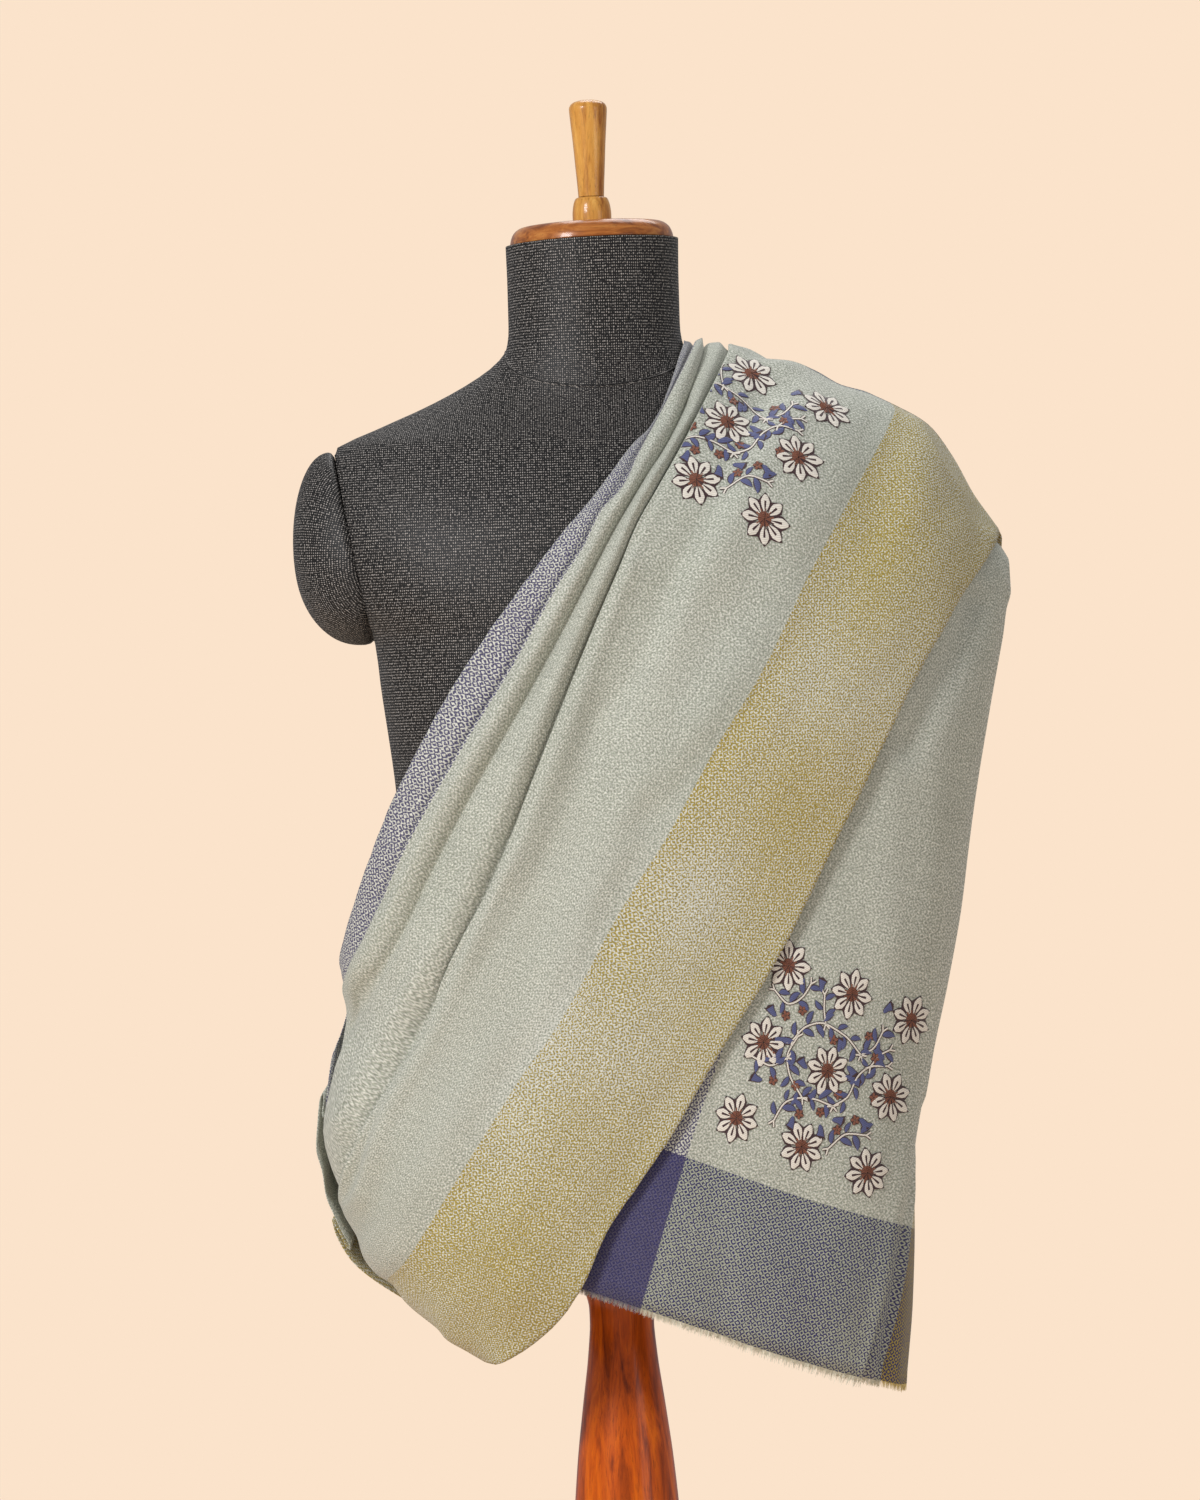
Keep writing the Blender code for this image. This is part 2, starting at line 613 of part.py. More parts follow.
def sash_grid():
    places = np.array([fold.line for fold in SASH_FOLDS])
    base, normal = frames(sash_lines(), SASH_GUIDES, places)
    share = np.linspace(0, 1, SASH_ROWS)[:, None] ** ROW_CROWDING
    lift = np.array([fold.lift for fold in SASH_FOLDS])[None, :]
    fade = np.array([fold.fade for fold in SASH_FOLDS])[None, :]
    kept = 1 + (fade - 1) * smoothstep(*SASH_FADE, share)
    over = beside_stack(base[:, :, 0], base[:, :, 2], *hanging_left_edge()) * (base[:, :, 1] < 0)
    over = over * (FREE_SHARE + (1 - FREE_SHARE) * smoothstep(*FREE_HEIGHTS, base[:, :, 2]))
    grid = lifted(base, normal, lift * kept + over * (stack_height(base[:, :, 2]) + STACK_EASE))
    grid[0, :, 1] = -SEAM_GAP / 2
    return grid


def shoulder_end_grid(ridge_row):
    """The sash's columns carried on from its row on the ridge."""
    places = np.array([fold.line for fold in SASH_FOLDS])
    base, normal = frames(shoulder_end_lines(), SASH_GUIDES, places)
    lift = np.array([fold.lift for fold in SASH_FOLDS])[None, :]
    edge_x, edge_z = (np.array(column) * MM for column in zip(*[row.edge for row in BACK_LINES]))
    beside = beside_stack(base[:, :, 0], base[:, :, 2], edge_z[::-1], edge_x[::-1])
    past_edge = base[:, :, 0] - np.interp(base[:, :, 2], edge_z[::-1], edge_x[::-1])
    spread = smoothstep(0.0, STACK_BEHIND_SPREAD, past_edge)
    stack = STACK_BEHIND_EDGE + (STACK_BEHIND - STACK_BEHIND_EDGE) * spread
    grid = lifted(base, normal, lift + beside * stack)
    grid[0] = ridge_row
    grid[0, :, 1] = SEAM_GAP / 2
    return grid


def back_grid():
    """The back stretch: from the ridge, spreading across the back to its fold at the hip."""
    columns = np.array([fold.across for fold in BACK_FOLDS])
    start_angle = curve_through(*zip(*BACK_START_ANGLES))
    lines = []
    shares = [row.share for row in BACK_LINES] + [1.0]
    dense = eased_run()
    for guide in BACK_GUIDES:
        spots = np.array([between(row[1:], guide) for row in BACK_LINES]) * MM
        raise_by = RIDGE_HEIGHT(spots[0, 0]) - spots[0, 1]
        heights = spots[:, 1] + raise_by * np.clip(1 - np.array(shares[:-1]) / RIDGE_EASE, 0, 1) ** 2
        hip = between(BACK_HIP_HEIGHTS, guide) * MM
        start = math.pi + math.radians(float(start_angle(guide)))
        angles = np.append(TURN - ring_angle(spots[:, 0], heights), start)
        heights = np.append(heights, hip)
        angle, height = (curve_through(shares, values)(dense) for values in (angles, heights))
        path = resting_point(angle, height)
        path[0, 1] = SEAM_GAP / 2
        lines.append(stations(path, BACK_ROWS))
    lines = np.stack(lines, axis=1)
    share = np.linspace(0, 1, BACK_ROWS)[:, None] ** ROW_CROWDING
    shoulder = np.array([fold.shoulder for fold in BACK_FOLDS])[None, :]
    mid = np.array([fold.mid for fold in BACK_FOLDS])[None, :]
    hip = np.array([fold.hip for fold in BACK_FOLDS])[None, :]
    lifts = shoulder + (mid - shoulder) * smoothstep(*BACK_SPREAD, share)
    lifts = lifts + (hip - lifts) * smoothstep(*BACK_GATHER, share)
    return lifted(*frames(lines, BACK_GUIDES, columns), lifts)


def hanging_grid():
    """The hanging end: five passes between its left edge and its right folds."""
    shares = [row.share for row in HANG_LINES]
    rows = np.linspace(0, 1, HANG_ROWS) ** HANG_ROW_POWER
    left_x = curve_through(shares, [row.left * MM for row in HANG_LINES])(rows)
    insets = [curve_through(shares, [row[k] * MM for row in HANG_LINES])(rows) for k in (2, 3, 4)]
    top_x = HANG_TOP_RIGHT * MM
    columns = []

    def column(place, inset_left, right, lift, out=0.0):
        """place 0 at the left edge to 1 at a right fold; lift counts passes from the form."""
        edge_x = left_x + inset_left * MM
        start_x = edge_x[0] + (top_x - insets[right][0] - edge_x[0]) * place
        start_z = RIDGE_HEIGHT(start_x)
        hem_right = REACH_RIGHT(HANG_HEM_LEVEL) - insets[right][-1]
        hem_x = edge_x[-1] + (hem_right - edge_x[-1]) * place
        hem_z = HEM_HEIGHT * MM + HEM_SLOPE * hem_x
        z = start_z + (hem_z - start_z) * rows
        swung = top_x + (REACH_RIGHT(z) - top_x) * smoothstep(0, HANG_SWING, rows)
        fold_x = np.minimum(REACH_RIGHT(z), swung) - insets[right]
        x = edge_x + (fold_x - edge_x) * place
        x = np.where(rows == 0, start_x, x)
        columns.append((x, z, lift, out))

    def crossing(first, last, inset, right, lift):
        for place in np.linspace(first, last, HANG_COLUMNS + 1):
            column(1 - (1 - place) ** COLUMN_CROWDING, inset, right, lift)

    crossing(0, 1, HANG_LEFT_INSET[0], 0, 4.0)
    column(1, HANG_LEFT_INSET[0], 0, 3.5, 1.2)
    crossing(1, 0, HANG_LEFT_INSET[1], 0, 3.0)
    column(0, HANG_LEFT_INSET[1], 0, 2.5, -1.2)
    crossing(0, 1, HANG_LEFT_INSET[2], 1, 2.0)
    column(1, HANG_LEFT_INSET[2], 1, 1.5, 1.2)
    crossing(1, 0, HANG_LEFT_INSET[3], 1, 1.0)
    column(0, HANG_LEFT_INSET[3], 1, 0.5, -1.2)
    crossing(0, 1, HANG_LEFT_INSET[4], 2, 0.0)

    x = np.stack([c[0] for c in columns], axis=1)
    z = np.stack([c[1] for c in columns], axis=1)
    base = resting_point(ring_angle(x, z), z)
    base[0, :, 1] = -SEAM_GAP / 2
    level = np.array([c[2] for c in columns])[None, :]
    out = np.array([c[3] for c in columns])[None, :, None] * MM
    angle = ring_angle(x, z)
    normal = outward(angle, z)
    normal[0] = ridge_normal(x[0])
    wide = resting_point(angle - NORMAL_TURN, z) - resting_point(angle + NORMAL_TURN, z)
    wide /= np.linalg.norm(wide, axis=2, keepdims=True)
    lift = (PASS_FIRST_LIFT + level * (stack_height(z) - PASS_TOP_ROOM) / PASS_SPACES) * MM
    grid = base + normal * lift[:, :, None] + wide * out
    grid[0, :, 1] = -SEAM_GAP / 2
    return grid


# ---- mesh makers -------------------------------------------------------------------------
def new_object(name, mesh, collection, material):
    mesh.materials.append(material)
    made = bpy.data.objects.new(name, mesh)
    collection.objects.link(made)
    return made


def triangles_of(grid):
    """Triangles of a grid as index triples; their diagonals run one way in every pass of a
    fold, so that its layers stay parallel."""
    rows, columns = grid.shape[:2]
    triangles = []
    for i in range(rows - 1):
        way = grid[i, -1] - grid[i, 0]
        for j in range(columns - 1):
            a = i * columns + j
            b, c, d = a + 1, a + 1 + columns, a + columns
            forward = np.dot(grid[i, j + 1] - grid[i, j], way) > 0
            triangles += [(a, b, c), (a, c, d)] if forward else [(a, b, d), (b, c, d)]
    return np.array(triangles)


def rim_of(rows, columns):
    """Vertex indices round the boundary of a grid, in order."""
    top = [j for j in range(columns)]
    right = [i * columns + columns - 1 for i in range(1, rows)]
    foot = [(rows - 1) * columns + j for j in range(columns - 2, -1, -1)]
    left = [i * columns for i in range(rows - 2, 0, -1)]
    return top + right + foot + left


def cloth_wall(name, grid, collection, material):
    """A closed wall of even thickness about a grid of points, its first row a flat seam."""
    rows, columns = grid.shape[:2]
    points = grid.reshape(-1, 3)
    triangles = triangles_of(grid)
    corners = points[triangles]
    facing = np.cross(corners[:, 1] - corners[:, 0], corners[:, 2] - corners[:, 0])
    facing /= np.maximum(np.linalg.norm(facing, axis=1, keepdims=True), 1e-12)
    normals = np.zeros_like(points)
    for k in range(3):
        np.add.at(normals, triangles[:, k], facing)
    normals[:columns, 1] = 0.0
    normals /= np.maximum(np.linalg.norm(normals, axis=1, keepdims=True), 1e-12)
    half = normals * CLOTH_WALL / 2
    wall = bmesh.new()
    outer = [wall.verts.new(point) for point in points + half]
    inner = [wall.verts.new(point) for point in points - half]
    for a, b, c in triangles:
        wall.faces.new((outer[a], outer[b], outer[c]))
        wall.faces.new((inner[c], inner[b], inner[a]))
    rim = rim_of(rows, columns)
    for a, b in zip(rim, rim[1:] + rim[:1]):
        wall.faces.new((outer[b], outer[a], inner[a], inner[b]))
    bmesh.ops.recalc_face_normals(wall, faces=wall.faces)
    mesh = bpy.data.meshes.new(name)
    wall.to_mesh(mesh)
    wall.free()
    mesh.shade_smooth()
    mesh.set_sharp_from_angle(angle=math.radians(60))
    return new_object(name, mesh, collection, material)


def loft(name, rings, collection, material):
    """A closed solid through rings of equal count, capped at both ends."""
    solid = bmesh.new()
    loops = [[solid.verts.new(point) for point in ring] for ring in rings]
    count = len(loops[0])
    for lower, upper in zip(loops, loops[1:]):
        for k in range(count):
            after = (k + 1) % count
            solid.faces.new((lower[k], lower[after], upper[after], upper[k]))
    solid.faces.new(list(reversed(loops[0])))
    solid.faces.new(loops[-1])
    bmesh.ops.recalc_face_normals(solid, faces=solid.faces)
    mesh = bpy.data.meshes.new(name)
    solid.to_mesh(mesh)
    solid.free()
    mesh.shade_smooth()
    mesh.set_sharp_from_angle(angle=math.radians(40))
    return new_object(name, mesh, collection, material)


def turned(name, profile, collection, material):
    """A turned piece: (radius, height) in mm from top to bottom, closed on its axis."""
    outline = bmesh.new()
    points = [outline.verts.new((radius * MM, 0, height * MM)) for radius, height in profile]
    for upper, lower in zip(points, points[1:]):
        outline.edges.new((upper, lower))
    mesh = bpy.data.meshes.new(name)
    outline.to_mesh(mesh)
    outline.free()
    made = new_object(name, mesh, collection, material)
    screw = made.modifiers.new("turning", "SCREW")
    screw.steps = ROUND_STEPS
    screw.render_steps = ROUND_STEPS
    screw.use_merge_vertices = True
    screw.merge_threshold = 0.00005
    screw.use_smooth_shade = True
    return made


def finish(name, colour, roughness, metallic=0.0):
    material = bpy.data.materials.new(name)
    material.use_nodes = True
    shader = material.node_tree.nodes["Principled BSDF"]
    shader.inputs["Base Color"].default_value = (*colour, 1.0)
    shader.inputs["Roughness"].default_value = roughness
    shader.inputs["Metallic"].default_value = metallic
    return material


# ---- the form and its stand ----------------------------------------------------------------
def torso(collection, material):
    """Neck and torso in one, lofted through its levels, with flats where the arm caps sit."""
    levels = [row.height * MM for row in FORM_LEVELS]
    heights = sorted(levels + [ARM_FLAT_LEVEL])
    rings = []
    for z in heights:
        ring = []
        for k in range(FORM_POINTS):
            angle = TURN * k / FORM_POINTS
            power = float(FORM_POWER(z))
            cosine, sine = math.cos(angle), math.sin(angle)
            x = float(FORM_HALF(z)) * math.copysign(abs(cosine) ** (2 / power), cosine)
            deep = float(FORM_BACK(z) if sine > 0 else FORM_FRONT(z))
            y = deep * math.copysign(abs(sine) ** (2 / power), sine)
            lean = float(smoothstep(NECK_LEAN_FROM, NECK_TOP, z)) * math.tan(NECK_TILT)
            ring.append((x, y, z + x * lean))
        rings.append(ring)
    return loft("form_torso", rings, collection, material)


def arm_cutter(side, collection):
    """A block whose inner face lies on the arm cap's seam; it trims the torso's side."""
    out, deep, above = ARM_CUTTER
    low, high = ARM_SEAM_FOOT[1] + SEAM_GAP, ARM_SEAM_TOP[1] + above
    block = bmesh.new()
    bmesh.ops.create_cube(block, size=1.0)
    for vert in block.verts:
        z = high if vert.co.z > 0 else low
        x = out if vert.co.x > 0 else float(seam_x(z))
        vert.co = (side * x, deep * (1 if vert.co.y > 0 else -1), z)
    if side < 0:
        bmesh.ops.reverse_faces(block, faces=block.faces[:])
    mesh = bpy.data.meshes.new("arm_cutter")
    block.to_mesh(mesh)
    block.free()
    made = bpy.data.objects.new("arm_cutter_" + ("right" if side > 0 else "left"), mesh)
    collection.objects.link(made)
    made.hide_render = True
    made.display_type = "WIRE"
    return made


def arm_cap(name, side, collection, material):
    """The rounded cap that closes an armhole: rings that shrink away from the seam."""
    middle_z = (ARM_SEAM_TOP[1] + ARM_SEAM_FOOT[1]) / 2
    half_height = (ARM_SEAM_TOP[1] - ARM_SEAM_FOOT[1]) / 2 - ARM_CAP_INSET
    outline = []
    for k in range(ARM_CAP_POINTS):
        angle = TURN * k / ARM_CAP_POINTS
        z = middle_z + half_height * math.cos(angle)
        behind = math.sin(angle) > 0
        y = float(form_depth(seam_x(z), z, behind)) * (1 if behind else -1)
        if k in (0, ARM_CAP_POINTS // 2):
            y = 0.0
        outline.append((float(seam_x(z)), y, z))
    rings = []
    for k in range(ARM_CAP_RINGS + 1):
        out = math.sin(ARM_CAP_END * math.pi / 2 * k / ARM_CAP_RINGS)
        ring = []
        for x, y, z in outline:
            size, narrow, tall, rise = cap_section(out, z > middle_z)
            start = seam_x(middle_z) + (x - seam_x(middle_z)) * (1 - out) * size
            ring.append((
                side * (start + (ARM_CAP_REACH - seam_x(middle_z)) * out + SEAM_GAP),
                y * narrow,
                middle_z + rise + (z - middle_z) * tall,
            ))
        rings.append(ring)
    return loft(name, rings, collection, material)


def stand(collection, wood, pole_wood):
    """Turned pieces, each 0.3 mm clear of the one it stands on."""
    gap = SEAM_GAP / MM
    base_radius, base_height = BASE_RADIUS / MM, BASE_HEIGHT / MM
    turned("stand_base", (
        (0, base_height), (base_radius - 14, base_height), (base_radius - 6, base_height - 2.5),
        (base_radius - 1.5, base_height - 8), (base_radius, base_height - 14),
        (base_radius - 1.5, 3), (base_radius - 4, 0), (0, 0),
    ), collection, pole_wood)
    foot = base_height + gap
    turned("stand_pole", (
        (0, 756.7), (37, 756.7), (39, 752), (37, 746), (30, 736), (25.5, 725), (22.7, 713), (22.5, 702),
        (24.4, 679), (28.9, 645), (34, 603), (38, 550), (39.5, 495), (37.5, 425), (32, 345),
        (26, 255), (24, 170), (27, 112), (36, 68), (45, 44), (46, foot + 6), (46, foot), (0, foot),
    ), collection, pole_wood)
    top = FORM_BOTTOM / MM - gap
    turned("stand_flange", (
        (0, top), (46, top), (48, top - 2), (48, top - 10), (45, 757), (0, 757),
    ), collection, pole_wood)
    rest = NECK_TOP + SEAM_GAP
    pieces = (
        turned("neck_cap", (
            (0, 12.5), (45, 12.5), (49.5, 11.9), (53, 10), (55.5, 7), (56.8, 3.5), (57.3, 0.5),
            (57, 0), (0, 0),
        ), collection, wood),
        turned("handle_bulb", (
            (0, 31.7), (9, 31.7), (10.8, 31), (12.2, 28.5), (13.2, 24), (13.6, 19.5),
            (13.5, 15), (13, 12.8), (0, 12.8),
        ), collection, wood),
        turned("neck_handle", (
            (0, 99.5), (6.5, 99.3), (10, 98.2), (12.5, 96), (13.3, 93.2), (12.6, 83.5), (11.4, 69),
            (10.4, 54), (9.4, 39.5), (9, 32), (0, 32),
        ), collection, wood),
    )
    for piece in pieces:
        aside, tilt = (0, NECK_TILT) if piece is pieces[0] else (HANDLE_ASIDE, HANDLE_TILT)
        piece.location = (aside, 0, rest)
        piece.rotation_euler = (0, -tilt, 0)


# ---- fringe ---------------------------------------------------------------------------------
def fringe(name, hem, down, collection, material):
    """Strands on a narrow strip just below a hem; hem and down are rows of 3-D vectors."""
    steps = np.linalg.norm(np.diff(hem, axis=0), axis=1)
    run = np.concatenate([[0], np.cumsum(steps)])
    cells = max(3, int(run[-1] / FRINGE_PITCH))
    wanted = np.linspace(run[0], run[-1], cells + 1)
    line = np.stack([np.interp(wanted, run, hem[:, k]) for k in range(3)], axis=1)
    fall = np.stack([np.interp(wanted, run, down[:, k]) for k in range(3)], axis=1)
    fall /= np.linalg.norm(fall, axis=1, keepdims=True)
    tangent = np.gradient(line, axis=0)
    thick = np.cross(tangent, fall)
    thick /= np.linalg.norm(thick, axis=1, keepdims=True)
    thick *= FRINGE_HALF
    top = line + fall * FRINGE_GAP
    foot = top + fall * FRINGE_STRIP
    strip = bmesh.new()
    loops = []
    for a, b, t in zip(top, foot, thick):
        loops.append([strip.verts.new(p) for p in (a, b + t, b - t)])
    bottoms = []
    for this, after in zip(loops, loops[1:]):
        for k in range(3):
            face = strip.faces.new((this[k], this[(k + 1) % 3], after[(k + 1) % 3], after[k]))
            if k == 1:
                bottoms.append(face)
    strip.faces.new(loops[0])
    strip.faces.new(list(reversed(loops[-1])))
    bmesh.ops.recalc_face_normals(strip, faces=strip.faces)
    for index in range(cells):
        grown = bmesh.ops.extrude_discrete_faces(strip, faces=[bottoms[index]])["faces"][0]
        middle = grown.calc_center_median()
        for vert in grown.verts:
            vert.co = middle + (vert.co - middle) * FRINGE_TAPER
            vert.co += type(vert.co)(fall[index] * FRINGE_LENGTH)
    mesh = bpy.data.meshes.new(name)
    strip.to_mesh(mesh)
    strip.free()
    return new_object(name, mesh, collection, material)


# ---- assembly -------------------------------------------------------------------------------
def clear_scene():
    for old in list(bpy.data.objects):
        bpy.data.objects.remove(old, do_unlink=True)


def new_collection(name):
    made = bpy.data.collections.new(name)
    bpy.context.scene.collection.children.link(made)
    return made


def main():
    clear_scene()
    parts = new_collection("pashmina_shawl_on_form")
    cutters = new_collection("cutters")
    sage = finish("sage_pashmina", (0.45, 0.50, 0.40), 0.9)
    black_knit = finish("black_knit", (0.025, 0.023, 0.023), 0.85)
    honey_wood = finish("honey_wood", (0.45, 0.18, 0.05), 0.35)
    red_wood = finish("red_brown_wood", (0.22, 0.05, 0.015), 0.25)

    body = torso(parts, black_knit)
    for side in (-1, 1):
        cutter = arm_cutter(side, cutters)
        cut = body.modifiers.new("arm_flat", "BOOLEAN")
        cut.operation = "DIFFERENCE"
        cut.solver = "EXACT"
        cut.object = cutter
    arm_cap("form_arm_cap_left", -1, parts, black_knit)
    arm_cap("form_arm_cap_right", 1, parts, black_knit)
    stand(parts, honey_wood, red_wood)

    hanging = hanging_grid()
    cloth_wall("shawl_hanging_end", hanging, parts, sage)
    sash = sash_grid()
    cloth_wall("shawl_front_sash", sash, parts, sage)
    cloth_wall("shawl_back_stretch", back_grid(), parts, sage)
    shoulder_end = shoulder_end_grid(sash[0])
    cloth_wall("shawl_shoulder_end", shoulder_end, parts, sage)

    passes = HANG_COLUMNS + 1
    fall = hanging[-1] - hanging[-2]
    fringe("fringe_hanging_front", hanging[-1, :passes], fall[:passes], parts, sage)
    fringe("fringe_hanging_inner", hanging[-1, -3:], fall[-3:], parts, sage)
    fall = shoulder_end[-1] - shoulder_end[-2]
    outer = slice(-END_FRINGE_COLUMNS, None)
    fringe("fringe_shoulder_end", shoulder_end[-1, outer], fall[outer], parts, sage)


main()
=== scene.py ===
"""Pashmina shawl worn over one shoulder, on a limbless dress form: the looks of the part.

Laid out as an add-on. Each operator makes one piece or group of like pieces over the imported
solids. Metres, +Z up, the form faces -Y. Cloth coordinates are metres too: U runs from the indigo
selvedge to the yellow one, V from the nearer short end.
"""

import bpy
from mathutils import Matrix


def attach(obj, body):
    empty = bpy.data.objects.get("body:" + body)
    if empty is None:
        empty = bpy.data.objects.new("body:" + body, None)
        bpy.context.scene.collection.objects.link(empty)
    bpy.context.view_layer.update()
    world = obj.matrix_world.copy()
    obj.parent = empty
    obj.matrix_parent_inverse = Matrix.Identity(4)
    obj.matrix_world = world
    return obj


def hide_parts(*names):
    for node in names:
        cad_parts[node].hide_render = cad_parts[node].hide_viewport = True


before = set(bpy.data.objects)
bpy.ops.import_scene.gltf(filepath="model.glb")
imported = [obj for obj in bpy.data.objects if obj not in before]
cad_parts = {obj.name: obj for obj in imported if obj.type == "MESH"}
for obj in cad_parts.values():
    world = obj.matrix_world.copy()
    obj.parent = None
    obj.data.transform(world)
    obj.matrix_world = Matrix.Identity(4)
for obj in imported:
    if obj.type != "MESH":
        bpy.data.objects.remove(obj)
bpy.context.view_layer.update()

import functools
import itertools
import math
from collections import namedtuple

import bmesh
import bpy
import numpy as np
from bpy.props import FloatProperty, StringProperty
from mathutils import Matrix, Vector, noise

bl_info = {
    "name": "Draped Pashmina Shawl",
    "version": (1, 0, 0),
    "blender": (4, 5, 0),
    "location": "View3D > Sidebar > Shawl",
    "description": "A woven shawl with embroidered corners, draped on a dress form",
    "category": "Object",
}

MM = 0.001
TURN = 2 * math.pi


def table(names, *rows):
    """A table in columns: an array for each name."""
    return namedtuple("Table", names)(*map(np.array, zip(*rows)))


# ---- driving sizes, in metres
SEAM_GAP = 0.0003
FORM_CLEARANCE = 0.0008
FORM_BOTTOM = 0.771
NECK_TOP = 1.4585
NECK_TILT = math.radians(1.5)
HANDLE_TILT = math.radians(0.6)
HANDLE_ASIDE = 0.0008
ARM_SEAM_TOP = (0.1845, 1.318)
ARM_SEAM_FOOT = (0.1590, 1.181)
ARM_CAP_REACH = 0.2145
ARM_CAP_POWER = 2.7
ARM_CAP_POWER_ABOVE = 2.1
ARM_CAP_POWER_BELOW = 2.45
ARM_CAP_NARROWING = 0.2
ARM_CAP_SWELL = 0.05
ARM_CAP_RISE = 0.004
ARM_CAP_INSET = 0.0012
NECK_LEAN_FROM = 1.40
ARCH_FOOT = 1.10
ARCH_RISE_POWER = 1.5
ARCH_ROOF_POWER = 0.6
RIGHT_POWER = 2.8
LEFT_POWER = 2.2
# where cloth leaves the form, the corner between them is rounded over this depth
FILLET = 0.008
FILLET_FULL_DEPTH = 0.03
# steps used to measure the resting surface's normals
NORMAL_TURN = 0.02
NORMAL_STEP = 0.002
# heights between which the cloth comes to follow the resting surface exactly
HUG_NONE = 0.73
HUG_FULL = 0.78
# share of the reach where a point's angle is read from its depth too, and is so wholly
SIDE_FROM = 0.75
SIDE_FULL = 0.90

# ---- the form: a row for each level, lengths in mm
FORM_LEVELS = table(
    "height half_width front back power",
    (771, 142, 96, 99, 2.3), (776, 151, 104, 107, 2.3), (805, 157, 109, 113, 2.3),
    (850, 159, 111, 116, 2.3), (920, 151, 105, 105, 2.3), (1000, 142, 98, 91, 2.3),
    (1083, 148, 104, 94, 2.3), (1150, 156, 111, 101, 2.35), (1181, 159.5, 112, 104, 2.4),
    (1205, 176, 112, 106, 2.4), (1250, 194, 107, 106, 2.3), (1280, 197, 97, 100, 2.15),
    (1300, 194, 87, 91, 2.0), (1318, 184.5, 77, 81, 1.85), (1332.5, 153, 70, 74, 1.7),
    (1345, 123, 64, 68, 1.7), (1355, 102, 61, 65, 1.7), (1367, 81, 59, 62, 1.75), (1376, 69, 58, 61, 1.9),
    (1385, 62, 57.5, 60, 2.0), (1400, 60, 57, 59, 2.0), (1430, 60, 57, 58.5, 2.0),
    (1458.5, 60.5, 58, 59, 2.0),
)

# ---- the resting surface of the cloth, in mm
SHOULDER_RIDGE = table(
    "x height",
    (-300, 1387), (61, 1387), (69, 1380.5), (81, 1377), (102, 1372), (120, 1364), (138, 1347.5),
    (172, 1331), (185, 1326), (200, 1322.5), (213, 1313), (230, 1284.5), (248, 1254.5), (260, 1241),
    (268, 1232.5), (276, 1219), (300, 1180),
)
CLOTH_REACH = table(
    "height left right",
    (640, 28, 194), (660, 52, 196), (676, 74, 197.5), (686, 88.5, 198.5), (700, 110.5, 199.5),
    (719, 136, 202), (735, 152, 203), (753, 169, 204), (766, 176, 204.5), (780, 181, 204.5),
    (795, 185, 204.5), (815, 191, 204.5), (834, 196, 204), (855, 193, 207), (881, 189, 210),
    (903, 184, 214.5), (918, 177.5, 218), (932, 177, 221.5), (946, 184, 225), (955, 188, 227),
    (966, 190, 229.5), (1027, 191, 239.5), (1100, 192, 252), (1176, 198, 267.5), (1200, 199, 271.5),
    (1214, 199, 276), (1235, 200, 281), (1290, 200, 283), (1400, 200, 283),
)
CLOTH_DEPTH = table(
    "height front back",
    (640, 84, 84), (676, 96, 96), (705, 106, 108), (740, 113, 118), (800, 118, 125), (900, 118, 124),
    (1000, 116, 116), (1100, 117, 112), (1200, 118, 112), (1400, 118, 114),
)

# ---- lines along the front sash, from the shoulder ridge to the hip: (x, height) in mm ----
SASH_LINES = table(
    "share edge roll valley pleat stripe selvedge",
    (0.0, (62, 1387), (67, 1382), (75, 1378), (92, 1370), (192, 1326), (264, 1238)),
    (0.125, (39.5, 1329), (41.5, 1328.5), (53, 1321.5), (59.5, 1312.5), (155, 1265), (228.5, 1181)),
    (0.19, (17.5, 1305), (27, 1302), (34, 1290), (37, 1274), (132.5, 1226.5), (206, 1143)),
    (0.25, (-2, 1280), (11, 1271.5), (15, 1261.5), (17, 1239), (114, 1189.5), (187, 1106.5)),
    (0.3125, (-22.5, 1256), (-8.5, 1245.5), (-3, 1231), (1.5, 1200.5), (94, 1151.5), (168, 1068)),
    (0.375, (-42.5, 1231.5), (-27, 1219.5), (-19, 1200), (-16, 1163), (70, 1115.5), (148, 1030.5)),
    (0.5, (-81.5, 1181), (-60, 1164), (-52, 1140.5), (-47.5, 1088), (26.5, 1040), (109.5, 956)),
    (0.625, (-117, 1127), (-95, 1109.5), (-88, 1081.5), (-79.5, 1012), (-18.5, 964), (64, 885.5)),
    (0.75, (-147.5, 1071), (-128, 1054), (-121, 1021), (-115, 937.5), (-66.5, 891.5), (19, 814)),
    (0.875, (-171.5, 1013), (-156.5, 996.5), (-152.5, 961.5), (-155.5, 868), (-114, 819.5), (-23, 741)),
    (0.94, (-183, 981), (-171, 965), (-172, 930), (-178, 828), (-139, 780), (-58, 698)),
    (0.97, (-188, 965), (-180, 948), (-177, 914), (-184, 807), (-153, 757), (-78, 687)),
)
# for the same six lines: height at the hip, mm that it drops in the wrap, and degrees wrapped
HIP_HEIGHTS = (952, 934, 900, 792, 742, 688)
WRAP_DROP = (26, 24, 21, 14, 8, -5)
WRAP_ANGLES = (34, 34, 32, 27, 25, 24)
SASH_GUIDES = (0, 1, 2, 2.5, 3, 3.33, 3.67, 4, 4.33, 4.67, 5)
BACK_GUIDES = (0, 0.14, 0.28, 0.42, 0.57, 0.71, 0.86, 1)

